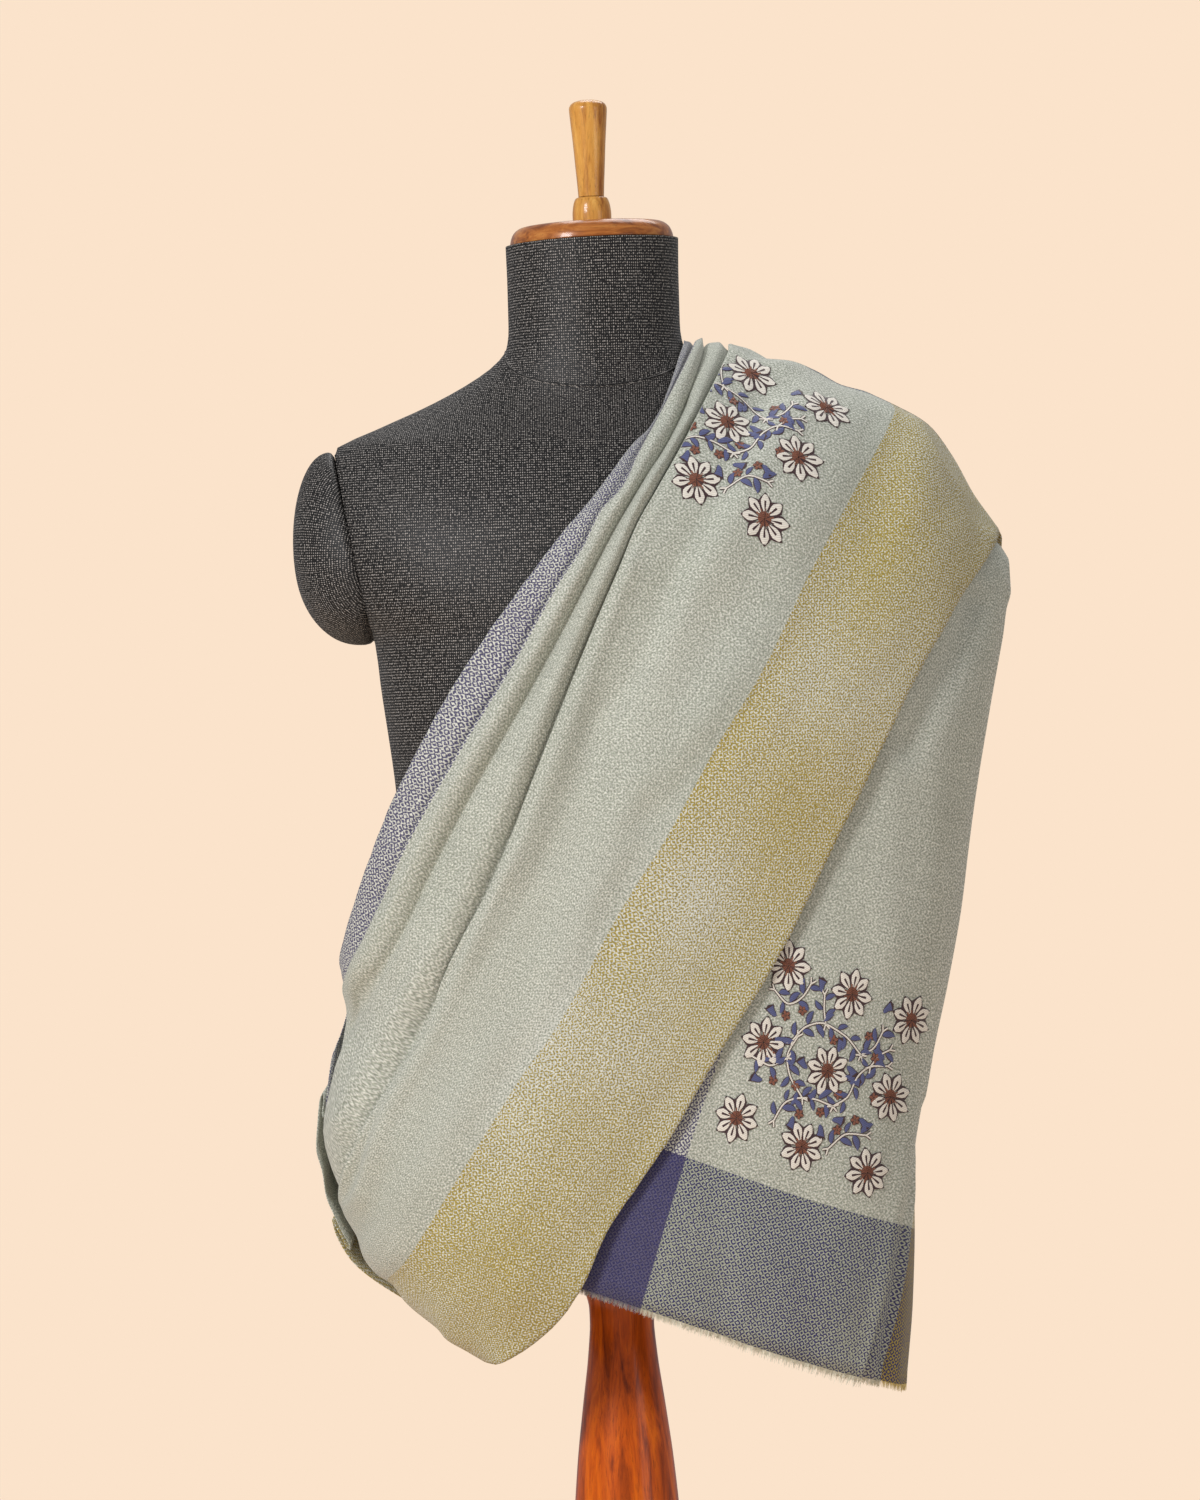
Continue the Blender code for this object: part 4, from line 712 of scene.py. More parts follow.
def relief(points):
    """Lift in mm that uneven handling gives the cloth. Layers one over another move as one."""
    x, y, z = np.moveaxis(points, -1, 0)
    along = x * LIE_OF_LENGTH[0] + z * LIE_OF_LENGTH[1]
    across_lie = x * LIE_OF_LENGTH[1] - z * LIE_OF_LENGTH[0]
    selvedge_x, selvedge_z = SASH_LINES.selvedge[::-1].T * MM
    beyond = smoothstep(0.0, SELVEDGE_EASE, x - np.interp(z, selvedge_z, selvedge_x))
    front = waves(SASH_WAVES, along, across_lie) * (1 - beyond) + waves(HANGING_WAVES, z, x) * beyond
    for crease in FRONT_CREASES:
        front -= crease_depth(x, z, *crease)
    back = waves(BACK_WAVES, along, across_lie)
    for crease in BACK_CREASES:
        back -= crease_depth(x, z, *crease)
    side = smoothstep(0.0, RELIEF_FADE, np.abs(y))
    return (RELIEF_BASE + np.where(y < 0, front, back)) * side


Laid = namedtuple("Laid", "points facing u v slant")
CLOTH_WIDTH = 1.0
INDIGO_BORDER = 0.070
YELLOW_BORDER = 0.120
WEFT_BAND = 0.110
# a selvedge strays this far, in short waves that change along the length
EDGE_WANDER = 0.0006
EDGE_WAVE = 0.011
EDGE_DRIFT = 0.05
# columns over which a tuck takes its width away
TUCK_EASE = 0.6


def finer(grid, steps_down, steps_across):
    """A grid of points with more rows and columns, smooth through the ones that it has."""
    for axis, steps in ((0, steps_down), (1, steps_across)):
        rows = np.moveaxis(grid, axis, 0)
        places = np.linspace(0, len(rows) - 1, (len(rows) - 1) * steps + 1)
        grid = np.moveaxis(curve_through(range(len(rows)), rows)(places), 0, axis)
    return grid


def lay(stretch, steps_down, steps_across, gauge_row, tucks, from_end, reverse, squared=0):
    """The finished lie of a stretch, with its cloth coordinates.

    gauge_row is the share of the length where the width is measured. tucks are (column, share)
    of the width that is folded away out of sight. from_end is V at the first row, or at the
    last row where reverse says that V falls along the stretch. squared is the number of rows
    from the first over which the weft is kept square to the warp.
    """
    points = finer(stretch.points, steps_down, steps_across)
    facing = unit(finer(stretch.outward, steps_down, steps_across))
    room = finer(stretch.lift[:, :, None], steps_down, steps_across)[:, :, 0]
    across_run = runs(points, 1)[int(gauge_row * (len(points) - 1))]
    column = np.linspace(0, stretch.points.shape[1] - 1, points.shape[1])
    hidden = CLOTH_WIDTH - across_run[-1]
    u = across_run + sum(
        hidden * share * smoothstep(at - TUCK_EASE, at + TUCK_EASE, column) for at, share in tucks
    )
    down_run = runs(points, 0)
    v = from_end + (down_run[-1:] - down_run if reverse else down_run)
    if squared:
        way = unit(np.diff(points, axis=0)[:squared])
        sideways = np.diff(points, axis=1)[:squared]
        slip = (sideways * way[:, :-1]).sum(2) - np.diff(down_run, axis=1)[:squared]
        v = v + np.append(0, np.cumsum(slip.mean(0)))
    lift = np.maximum(relief(points), CONTACT_ROOM - room)
    points = points + facing * lift[:, :, None] * MM
    for edge in (0, -1):
        ripple = wandering(v[:, edge] / EDGE_WAVE, v[:, edge] / EDGE_DRIFT, 2.0 + edge)
        outside = unit(points[:, edge] - points[:, 1 if edge == 0 else -2])
        points[1:, edge] += (outside * ripple[:, None] * EDGE_WANDER)[1:]
    return Laid(points, facing, np.broadcast_to(u, v.shape), v, 0.0)


SASH_TUCKS = ((5, 0.04), (20, 0.96))
BACK_TUCKS = ((6, 0.3), (18, 0.7))
SHOULDER_SEAM_V = END_FALL
SQUARED_ROWS = 60
# laid rows and columns for each of a stretch's own
SASH_FINER = 5
FINER = 6
# how far the warp of the hanging end leans from its left edge, per metre above the hem
GRAIN_SLANT = 0.085
BACK_V = 0.70


@functools.cache
def laid_sash():
    grid = sash_grid()
    return lay(grid, SASH_FINER, SASH_FINER, 0.45, SASH_TUCKS, SHOULDER_SEAM_V, False, SQUARED_ROWS)


@functools.cache
def laid_shoulder_end():
    return lay(shoulder_end_grid(), FINER, SASH_FINER, 0.0, SASH_TUCKS, 0.0, True)


@functools.cache
def laid_back():
    return lay(back_grid(), FINER, FINER, 0.5, BACK_TUCKS, BACK_V, False)


@functools.cache
def laid_hanging():
    made = lay(hanging_grid(), FINER, FINER, 1.0, (), 0.0, True)
    front = made.u[0, HANG_COLUMNS * FINER]
    eased = np.interp(made.u, (0, front, made.u[0, -1]), (0, front, CLOTH_WIDTH))
    return made._replace(u=eased - GRAIN_SLANT * made.v, slant=GRAIN_SLANT)


# ---- making pieces
def piece(name, mesh, materials):
    """A finished piece at the origin, carried by the one body."""
    for material in materials:
        mesh.materials.append(material)
    made = bpy.data.objects.new(name, mesh)
    bpy.context.scene.collection.objects.link(made)
    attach(made, "root")
    return made


def mesh_of(name, work):
    """A mesh of a finished bmesh."""
    mesh = bpy.data.meshes.new(name)
    work.to_mesh(mesh)
    work.free()
    return mesh


def patch_mesh(name, patches):
    """One mesh of grid patches: (points, cloth coordinates, material indices of faces)."""
    work = bmesh.new()
    for points, _, _ in patches:
        rows, columns = points.shape[:2]
        bmesh.ops.create_grid(work, x_segments=columns - 1, y_segments=rows - 1, size=1.0)
    mesh = mesh_of(name, work)
    places = np.concatenate([points.reshape(-1, 3) for points, _, _ in patches])
    mesh.vertices.foreach_set("co", places.ravel())
    corners = np.empty(len(mesh.loops), int)
    mesh.loops.foreach_get("vertex_index", corners)
    cloth = np.concatenate([coordinates.reshape(-1, 2) for _, coordinates, _ in patches])
    layer = mesh.uv_layers.new(name="Cloth")
    layer.uv.foreach_set("vector", cloth[corners].ravel())
    looks = np.concatenate([np.ravel(look) for _, _, look in patches])
    mesh.polygons.foreach_set("material_index", looks.astype(int))
    mesh.shade_smooth()
    mesh.update()
    return mesh


def one_look(points):
    """Material indices of a grid's faces, all the first material."""
    return np.zeros((points.shape[0] - 1, points.shape[1] - 1))


def nap_and_sheen_of(laid):
    """0.5 where both threads show alike; more where the pale weft comes up, from raised fibres and as
    painted sheen where the cloth faces the light.
    """
    x, y, z = np.moveaxis(laid.points, -1, 0)
    nap_and_sheen = 0.5 + NAP_UNEVEN * wandering(laid.v / 0.13, laid.u / 0.05, 21.0)
    # painted sheen: patches on the front only, where the cloth faces the light or turns from it
    for middle_x, middle_z, size, amount in PAINTED_SHEEN_PATCHES:
        off = np.hypot(x - middle_x * MM, z - middle_z * MM) / (size * MM)
        nap_and_sheen = nap_and_sheen + amount * np.exp(-off ** 2) * (y < 0)
    return np.clip(nap_and_sheen, 0, 1)


NAP_UNEVEN = 0.28
# painted sheen: places on the front where the pale weft, or below 0 the warp, is brought up as the cloth
# faces the light or turns from it: (x, height, radius) in mm, amount
PAINTED_SHEEN_PATCHES = (
    (52, 1000, 46, 0.40), (-10, 900, 50, 0.34), (150, 1140, 36, 0.22), (120, 1050, 60, -0.30),
    (200, 1230, 46, -0.25), (-70, 740, 60, -0.35), (-25, 860, 26, -0.12),
)
SHEET_THICKNESS = 0.0006


def cloth_sheet(name, laid, node, material):
    """A stretch of the shawl: one sheet with its woven thickness."""
    cloth = np.stack([laid.u, laid.v], axis=-1)
    mesh = patch_mesh(name, [(laid.points, cloth, one_look(laid.points))])
    # the attribute carries raised fibres and painted sheen to the weave's colour
    nap_and_sheen = mesh.attributes.new("nap_and_sheen", "FLOAT", "POINT")
    nap_and_sheen.data.foreach_set("value", nap_and_sheen_of(laid).ravel().astype(np.float32))
    made = piece(name, mesh, [material])
    thick = made.modifiers.new("woven_thickness", "SOLIDIFY")
    thick.thickness = SHEET_THICKNESS
    thick.offset = 0.0
    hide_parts(node)
    return made


# ---- embroidery
CREAM, RUST, INDIGO, OUTLINE = range(4)
FLOWER_SPACING = 55.0
PETALS = 8
PETAL_FROM = 5.0
PETAL_TO = 18.0
PETAL_HALF = 5.0
# a petal's half width at shares of its length
PETAL_OUTLINE = ((0, 0.28), (0.3, 0.86), (0.55, 1.0), (0.8, 0.56), (1, 0.01))
PETAL_THREADS = (OUTLINE, CREAM, OUTLINE, CREAM, OUTLINE)
LEAF_THREADS = (OUTLINE, INDIGO, INDIGO, OUTLINE)
# where the threads of a shape meet across it, as shares of its half width
PETAL_STRIPS = (-1, -0.68, -0.16, 0.16, 0.68, 1)
LEAF_STRIPS = (-1, -0.74, 0, 0.74, 1)
CUP_STRIPS = (-1, -0.8, 0, 0.8, 1)
ROSETTE_STRIPS = (-1, -0.55, 0.55, 1)
STEM_STRIPS = (-1, -0.5, 0.5, 1)
# mm by which stitches swell at their middle
PETAL_SWELL, EYE_SWELL, LEAF_SWELL, STEM_SWELL = 0.5, 0.7, 0.45, 0.4
EYE_RADIUS = 7.0
EYE_STITCHES = 22
# mm that every stitch stands off the sheet
STITCH_REST = 0.42
# metres about a wanted spot over which cloth coordinates are averaged
SPOT_REACH = 0.006
# the vines between nine flowers, as (weft, down) in mm from the middle flower
VINES = (
    ((-34, -9), (-28, -21), (-13, -29), (4, -27), (22, -19)),
    ((-13, -29), (-18, -38), (-21, -47)),
    ((22, -19), (31, -28), (34, -40)),
    ((46, -19), (32, -14), (24, -3), (22, 10), (13, 21)),
    ((-27, 46), (-24, 33), (-12, 24), (2, 21), (13, 21)),
    ((-31, -13), (-34, 0), (-28, 12), (-12, 24)),
    ((-60, -36), (-47, -31), (-37, -40), (-34, -50)),
    ((-60, 12), (-46, 13), (-33, 3)),
    ((20, 49), (30, 35), (45, 31)),
    ((32, -14), (37, -24), (44, -30)),
)
STEM_HALF = 1.15
# leaves to each side of a vine in turn: every so many mm, at this angle from it
LEAF_EVERY = 6.2
LEAF_ANGLE = 52.0
LEAF_LENGTH = 10.2
LEAF_HALF = 2.7
# mm from a vine's tip of the points of each prong of its fork
FORK_REACH = np.array([[0.0], [2.0], [4.6]])
# indigo cups, opening outwards, and rust rosettes: (weft, down) in mm, and a cup's heading
CUPS = (
    (-16, 4, 200), (14, -8, 20), (-4, 15, 100), (4, -15, 260), (20, 2, 330), (-40, -8, 150),
    (38, -4, 10), (-14, 38, 80), (8, 36, 60), (36, 22, 20), (-46, 24, 170), (-24, -48, 250),
    (30, -52, 300), (-52, -20, 200), (16, 30, 340),
)
CUP_LENGTH = 8.6
# a cup's half width in mm at shares of its length, and how deep its mouth is notched
CUP_OUTLINE = ((0, 0.6), (0.2, 1.9), (0.45, 2.3), (0.7, 2.9), (0.9, 3.7), (1.0, 4.1))
CUP_NOTCH = 1.3
ROSETTES = (
    (-45, -23), (-34, -31), (-3, -21), (34, -21), (24, -33), (-47, 5), (-38, 21),
    (5, 28), (22, 35), (33, 24), (-20, 18), (42, 5), (-10, 35), (14, 12),
)
ROSETTE_REACH = 2.1


def spots_on(laid, u, v, lift):
    """Points on a laid sheet at arrays of cloth coordinates, lifted off it by mm."""
    points, facing = laid.points, laid.facing
    rows, columns = points.shape[:2]
    gauge = laid.u[0] + laid.slant * laid.v[0]
    way = -1 if laid.v[0, 0] > laid.v[-1, 0] else 1
    found = []
    for a, b, high in zip(np.ravel(u), np.ravel(v), np.ravel(lift)):
        across_at = np.interp(a + laid.slant * b, gauge, np.arange(columns))
        j = min(int(across_at), columns - 2)
        q = across_at - j
        run = laid.v[:, j] * (1 - q) + laid.v[:, j + 1] * q
        down_at = np.interp(b, run[::way], np.arange(rows)[::way])
        i = min(int(down_at), rows - 2)
        p = down_at - i
        share = np.array([[(1 - p) * (1 - q), (1 - p) * q], [p * (1 - q), p * q]])[:, :, None]
        middle = (points[i:i + 2, j:j + 2] * share).sum((0, 1))
        out = (facing[i:i + 2, j:j + 2] * share).sum((0, 1))
        found.append(middle + out * (high * MM + SHEET_THICKNESS / 2))
    return np.array(found).reshape(np.shape(u) + (3,))


def seen_at(laid, columns, x, z):
    """Cloth coordinates of the spot that stands before (x, z) mm of the pole's plane."""
    near = laid.points[:, columns]
    shrink = CAMERA_DISTANCE / (CAMERA_DISTANCE + near[..., 1])
    seen_x = CAMERA_X + (near[..., 0] - CAMERA_X) * shrink
    seen_z = CAMERA_HEIGHT + (near[..., 2] - CAMERA_HEIGHT) * shrink
    off = np.hypot(seen_x - x * MM, seen_z - z * MM)
    weight = np.exp(-((off / SPOT_REACH) ** 2))
    weight /= weight.sum()
    return (laid.u[:, columns] * weight).sum(), (laid.v[:, columns] * weight).sum()


def stitched(middle, half, across_shares, threads, lift):
    """A patch of satin stitch: midline points, half widths, and the thread of each strip."""
    middle = np.asarray(middle, float)
    way = unit(np.gradient(middle, axis=0))
    side = np.stack([-way[:, 1], way[:, 0]], axis=1)
    shares = np.array(across_shares, float)
    flat = middle[:, None] + side[:, None] * (np.asarray(half)[:, None] * shares)[:, :, None]
    high = STITCH_REST + lift * (1 - shares ** 2)[None, :] * np.ones(len(middle))[:, None]
    look = np.broadcast_to(np.array(threads), (len(middle) - 1, len(threads))).copy()
    return flat, high, look


def bent(start, angle, curl, lengths):
    """Points of a gently bent line from start, at these lengths along it."""
    turned = angle + curl * (lengths / lengths[-1] - 0.5)
    return np.array(start) + heading(turned) * lengths[:, None]


def petal_shapes(centre, turned_by):
    """The eight pointed petals of a flower, each outlined and slit, and its stippled eye."""
    share = np.linspace(0, 1, 10)
    half = PETAL_HALF * np.interp(share, *zip(*PETAL_OUTLINE))
    shapes = []
    for k in range(PETALS):
        uneven = noise.noise((k * 1.7, centre[0] * 0.1, centre[1] * 0.1))
        way = heading(turned_by + TURN * (k + 0.12 * uneven) / PETALS)
        reach = PETAL_FROM + (PETAL_TO * (1 + 0.06 * uneven) - PETAL_FROM) * share
        middle = np.array(centre) + way * reach[:, None]
        flat, high, look = stitched(middle, half, PETAL_STRIPS, PETAL_THREADS, PETAL_SWELL)
        look[5:, 2] = CREAM
        look[-1] = OUTLINE
        shapes.append((flat, high, look))
    for k in range(EYE_STITCHES):
        reach = np.linspace(0.5, EYE_RADIUS * (1.0 if k % 2 else 0.7), 4)
        middle = np.array(centre) + heading(TURN * (k + 0.3) / EYE_STITCHES) * reach[:, None]
        threads = (RUST, RUST if k % 3 else OUTLINE)
        shapes.append(stitched(middle, 0.22 + 0.085 * reach, (-1, 0, 1), threads, EYE_SWELL))
    return shapes


def leaf_shape(start, angle, length, half):
    """A filled lozenge leaf with a fine outline."""
    share = np.linspace(0, 1, 7)
    middle = bent(start, angle, 0.45, length * share)
    width = half * np.sin(math.pi * share ** 0.85) ** 0.7
    width[0], width[-1] = 0.5, 0.05
    return stitched(middle, width, LEAF_STRIPS, LEAF_THREADS, LEAF_SWELL)


def cup_shape(start, angle):
    """A flower cup seen from its side: narrow at the stalk, wide and notched at its mouth."""
    share, width = np.array(CUP_OUTLINE).T
    middle = bent(start, angle, 0.3, CUP_LENGTH * share)
    flat, high, look = stitched(middle, width, CUP_STRIPS, LEAF_THREADS, LEAF_SWELL)
    flat[-1, [0, 2, 4]] += heading(angle) * CUP_NOTCH
    look[-1] = OUTLINE
    return flat, high, look


def rosette_shapes(centre):
    """A small round rose: five lobes, each outlined, about its middle."""
    share = np.linspace(0, 1, 5)
    width = 1.75 * np.sqrt(np.clip(1 - (2 * share - 1) ** 2, 0.01, 1))
    shapes = []
    for k in range(5):
        way = heading(TURN * k / 5 + centre[0])
        middle = np.array(centre) + ROSETTE_REACH * way + way * ((share - 0.5) * 3.4)[:, None]
        threads = (OUTLINE, RUST, OUTLINE)
        shapes.append(stitched(middle, width, ROSETTE_STRIPS, threads, PETAL_SWELL))
    return shapes


def vine_shapes(path, side):
    """A stem with leaves to both sides of it in turn and a forked tip."""
    path = np.array(path, float)
    run = runs(path, 0)
    line = curve_through(run, path)
    places = np.linspace(0, run[-1], max(6, int(run[-1] / 2.2)))
    shapes = [stem_shape(line(places))]
    for at in np.arange(LEAF_EVERY / 2, run[-1] - 2, LEAF_EVERY):
        here, ahead = line(np.array([at, at + 0.5]))
        angle = math.atan2(*(ahead - here)[::-1]) + side * math.radians(LEAF_ANGLE)
        size = 0.92 + 0.4 * noise.noise((at, side, run[-1]))
        root = here + 1.6 * heading(angle)
        shapes.append(leaf_shape(root, angle, LEAF_LENGTH * size, LEAF_HALF * size))
        side = -side
    for end, back in ((0.0, 1.0), (run[-1], run[-1] - 1.0)):
        tip, before = line(np.array([end, back]))
        way = math.atan2(*(tip - before)[::-1])
        for turn in (-0.6, 0.5):
            shapes.append(stem_shape(tip + FORK_REACH * heading(way + turn)))
    return shapes


def stem_shape(line):
    """A couched cream stem between two outline threads."""
    half = np.full(len(line), STEM_HALF)
    return stitched(line, half, STEM_STRIPS, (OUTLINE, CREAM, OUTLINE), STEM_SWELL)


def cluster_shapes(keep):
    """All stitching of one corner ornament; keep says which places of it are worked."""
    shapes = []
    for k, path in enumerate(VINES):
        if keep(np.mean(path, axis=0)):
            shapes += vine_shapes(path, 1 if k % 2 else -1)
    for weft, down, turned in CUPS:
        if keep((weft, down)):
            shapes.append(cup_shape((weft, down), math.radians(turned)))
    for centre in ROSETTES:
        if keep(centre):
            shapes += rosette_shapes(centre)
    for row, column in itertools.product((-1, 0, 1), repeat=2):
        centre = (column * FLOWER_SPACING, row * FLOWER_SPACING)
        if keep(centre):
            shapes += petal_shapes(centre, 0.2 * column + 0.13 * row)
    return shapes


def embroidered(name, laid, anchor, scale, shear, keep, materials):
    """A corner ornament worked on a laid sheet about a place in cloth coordinates.

    scale is the share of full size along the weft and down the warp, below 0 to run upwards.
    shear is how far its rows sink along the weft.
    """
    patches = []
    for flat, high, look in cluster_shapes(keep):
        u = anchor[0] + scale[0] * flat[..., 0] * MM
        v = anchor[1] + scale[1] * (flat[..., 1] + shear * flat[..., 0]) * MM
        patches.append((spots_on(laid, u, v, high), flat * MM, look))
    return piece(name, patch_mesh(name, patches), materials)


# ---- fringe
YARN_RADIUS = 0.00030
YARN_TIP = 0.00010
# length of a yarn end that is hidden in the hem
YARN_ROOT = 0.0006
# how far yarn ends lean and how uneven they are, with a fixed seed
YARN_SEED = 7
YARN_LEAN = 0.35
YARN_UNEVEN = 0.45


def yarn_ends(name, laid, columns, lengths, pitch, material):
    """Cut warp ends below a hem: a thin tapering strand every pitch, each leaning its own way.

    lengths are those at the hem's first and last column.
    """
    hem = laid.points[-1, columns]
    fall = unit(hem - laid.points[-3, columns])
    run = runs(hem, 0)
    noise.seed_set(YARN_SEED)
    work = bmesh.new()
    cloth = work.loops.layers.uv.new("Cloth")
    for k, at in enumerate(np.arange(pitch / 2, run[-1], pitch)):
        root, way = ([np.interp(at, run, part[:, axis]) for axis in range(3)] for part in (hem, fall))
        lean = np.array(noise.noise_vector((k * 0.37, 4.0, 1.0))) * YARN_LEAN
        way = Vector(way + lean).normalized()
        uneven = 1.0 + YARN_UNEVEN * noise.noise((k * 0.71, 2.0, 7.0))
        long = np.interp(at, (0, run[-1]), lengths) * uneven
        turn = way.to_track_quat("Z", "Y").to_matrix().to_4x4()
        middle = Vector(root) + way * (long / 2 - YARN_ROOT)
        strand = bmesh.ops.create_cone(
            work, segments=3, cap_ends=True, radius1=YARN_RADIUS, radius2=YARN_TIP, depth=long,
            matrix=Matrix.Translation(middle) @ turn,
        )
        # all of a strand has the warp's colour, just past the hem
        place = (float(np.interp(at, run, laid.u[-1, columns])), -MM)
        for face in {face for vert in strand["verts"] for face in vert.link_faces}:
            for loop in face.loops:
                loop[cloth].uv = place
    return piece(name, mesh_of(name, work), [material])


# ---- the dress form
FORM_COLUMNS = 112
FORM_ROWS = 120
SHELL_WELD = 0.00002
SHELL_SHARP = math.radians(50)
# the torso is flat up to this far above an arm cap's seam
FLAT_ABOVE = 0.03
CAP_COLUMNS = 72
CAP_ROWS = 26
# share by which a cap's cover is drawn in at its seam, and the share of its reach that takes
CAP_EASED = 0.045
CAP_EASED_OVER = 0.05
# the neck seam's height behind, and how far it dips in front
NECK_SEAM = 1.384
NECK_SEAM_DIP = 0.029
SEAM_TOP = 1.3805
SEAM_FOOT = FORM_BOTTOM + 0.004
SEAM_POINTS = 150
NECK_SEAM_POINTS = 121
SEAM_CORD_HALF = 0.0013
SEAM_CORD_RISE = 0.0007


def torso_points(angle, z):
    """Points of the padded body and neck; flat where the arm caps join it."""
    deep = np.where(np.sin(angle) > 0, FORM_BACK(z), FORM_FRONT(z))
    x, y = (
        size * np.sign(part) * np.abs(part) ** (2 / FORM_POWER(z))
        for size, part in ((FORM_HALF(z), np.cos(angle)), (deep, np.sin(angle)))
    )
    beside_cap = (z > ARM_SEAM_FOOT[1] + SEAM_GAP) & (z < ARM_SEAM_TOP[1] + FLAT_ABOVE)
    x = np.where(beside_cap, np.clip(x, -seam_x(z), seam_x(z)), x)
    lean = smoothstep(NECK_LEAN_FROM, NECK_TOP, z) * math.tan(NECK_TILT)
    return np.stack([x, y, z + x * lean], axis=-1)


def closed_shell(name, points, cloth, materials):
    """A piece wrapped round from a grid of points, welded at its join and filled at its ends."""
    mesh = patch_mesh(name, [(points, cloth, one_look(points))])
    work = bmesh.new()
    work.from_mesh(mesh)
    bmesh.ops.remove_doubles(work, verts=work.verts, dist=SHELL_WELD)
    open_edges = [edge for edge in work.edges if edge.is_boundary]
    if open_edges:
        bmesh.ops.holes_fill(work, edges=open_edges)
    bmesh.ops.recalc_face_normals(work, faces=work.faces)
    work.to_mesh(mesh)
    work.free()
    mesh.set_sharp_from_angle(angle=SHELL_SHARP)
    return piece(name, mesh, materials)


def wrapped_body(material):
    rows = np.concatenate([[FORM_BOTTOM], np.linspace(FORM_BOTTOM + 0.001, NECK_TOP, FORM_ROWS)])
    angle, z = np.meshgrid(np.linspace(0, TURN, FORM_COLUMNS + 1), rows)
    points = torso_points(angle, z)
    around = runs(points, 1) - runs(points, 1)[:, [3 * FORM_COLUMNS // 4]]
    up = runs(points, 0).mean(axis=1, keepdims=True) + 0 * around
    cloth = np.stack([around, up], axis=-1)
    body = closed_shell("padded_body", points, cloth, [material])
    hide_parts("form_torso")
    return body


def wrapped_arm_cap(name, side, node, material):
    """A rounded cap sewn into an armhole, its cover eased in at the seam."""
    middle = (ARM_SEAM_TOP[1] + ARM_SEAM_FOOT[1]) / 2
    half_height = (ARM_SEAM_TOP[1] - ARM_SEAM_FOOT[1]) / 2 - ARM_CAP_INSET
    around = np.linspace(0, TURN, CAP_COLUMNS + 1)
    angle, turn = np.meshgrid(around, np.linspace(0, 1, CAP_ROWS) * math.pi / 2)
    out = np.sin(turn)
    z = middle + half_height * np.cos(angle)
    behind = np.sin(angle) > 0
    rim_y = form_depth(seam_x(z), z, behind) * np.where(behind, 1, -1)
    rim_y[:, [0, CAP_COLUMNS // 2, CAP_COLUMNS]] = 0.0
    size, narrow, tall, rise = cap_section(np.clip(out, 0, 1), z > middle)
    eased_in = 1 - CAP_EASED * np.exp(-((out / CAP_EASED_OVER) ** 2))
    start = seam_x(middle) + (seam_x(z) - seam_x(middle)) * (1 - out) * size
    x = start + (ARM_CAP_REACH - seam_x(middle)) * out + SEAM_GAP
    y = rim_y * narrow * eased_in
    z = middle + rise + (z - middle) * tall * eased_in
    points = np.stack([side * x, y, z], axis=-1)
    from_crown = runs(points, 0)[-1:] - runs(points, 0)
    cap = closed_shell(name, points, from_crown[..., None] * heading(angle), [material])
    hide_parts(node)
    return cap


def seam_cord(path_points, facing):
    """A sewn seam: a narrow raised fold along a line of surface points."""
    side = unit(np.cross(np.gradient(path_points, axis=0), facing))
    shares = np.array([-1.0, -0.25, 0.25, 1.0])
    rise = np.array([-0.4, 1.0, 1.0, -0.4]) * SEAM_CORD_RISE
    points = path_points[:, None] + side[:, None] * (shares * SEAM_CORD_HALF)[None, :, None]
    points = points + facing[:, None] * rise[None, :, None]
    run = runs(points, 0)
    look = one_look(points)
    look[:, 1] = 1
    return points, np.stack([shares * SEAM_CORD_HALF + 0 * run, run], axis=-1), look


def form_seams(cloth_material, thread_material):
    """Centre front, centre back and neck seams of the form's cover."""
    patches = []
    for angle in (1.5 * math.pi, 0.5 * math.pi):
        z = np.linspace(SEAM_FOOT, SEAM_TOP, SEAM_POINTS)
        line = torso_points(np.full_like(z, angle), z)
        patches.append(seam_cord(line, np.tile([0.0, math.sin(angle), 0.0], (len(z), 1))))
    angle = np.linspace(0, TURN, NECK_SEAM_POINTS)
    line = torso_points(angle, NECK_SEAM - NECK_SEAM_DIP * np.clip(-np.sin(angle), 0, 1) ** 1.5)
    facing = np.stack([np.cos(angle), np.sin(angle), 0.35 * np.ones_like(angle)], axis=1)
    patches.append(seam_cord(line, unit(facing)))
    mesh = patch_mesh("form_seams", patches)
    return piece("form_seams", mesh, [cloth_material, thread_material])


# ---- turned wood
POLE_PROFILE = (
    (37, 756.7), (39, 752), (37, 746), (30, 736), (25.5, 725), (22.7, 713), (22.5, 702),
    (24.4, 679), (28.9, 645), (34, 603), (38, 550), (39.5, 495), (37.5, 425), (32, 345),
    (26, 255), (24, 170), (27, 112), (36, 68), (45, 44), (46, 34.3), (46, 28.3),
)
BASE_PROFILE = (
    (156, 28), (164, 25.5), (168.5, 20), (170, 14), (168.5, 3), (166, 0),
)
FLANGE_PROFILE = ((46, 770.7), (48, 768.7), (48, 760.7), (45, 757))
CAP_PROFILE = (
    (45, 12.5), (49.5, 11.9), (53, 10), (55.5, 7), (56.8, 3.5), (57.3, 0.5), (57, 0),
)
BULB_PROFILE = (
    (9, 31.7), (10.8, 31), (12.2, 28.5), (13.2, 24), (13.6, 19.5), (13.5, 15), (13, 12.8),
)
HANDLE_PROFILE = (
    (6.5, 99.3), (10, 98.2), (12.5, 96), (13.3, 93.2), (12.6, 83.5), (11.4, 69),
    (10.4, 54), (9.4, 39.5), (9, 32),
)
TURNING_STEPS = 72
# points of a turned outline for each that its profile states
PROFILE_FINER = 5
TURNED_WELD = 0.00001
TURNED_SHARP = math.radians(35)


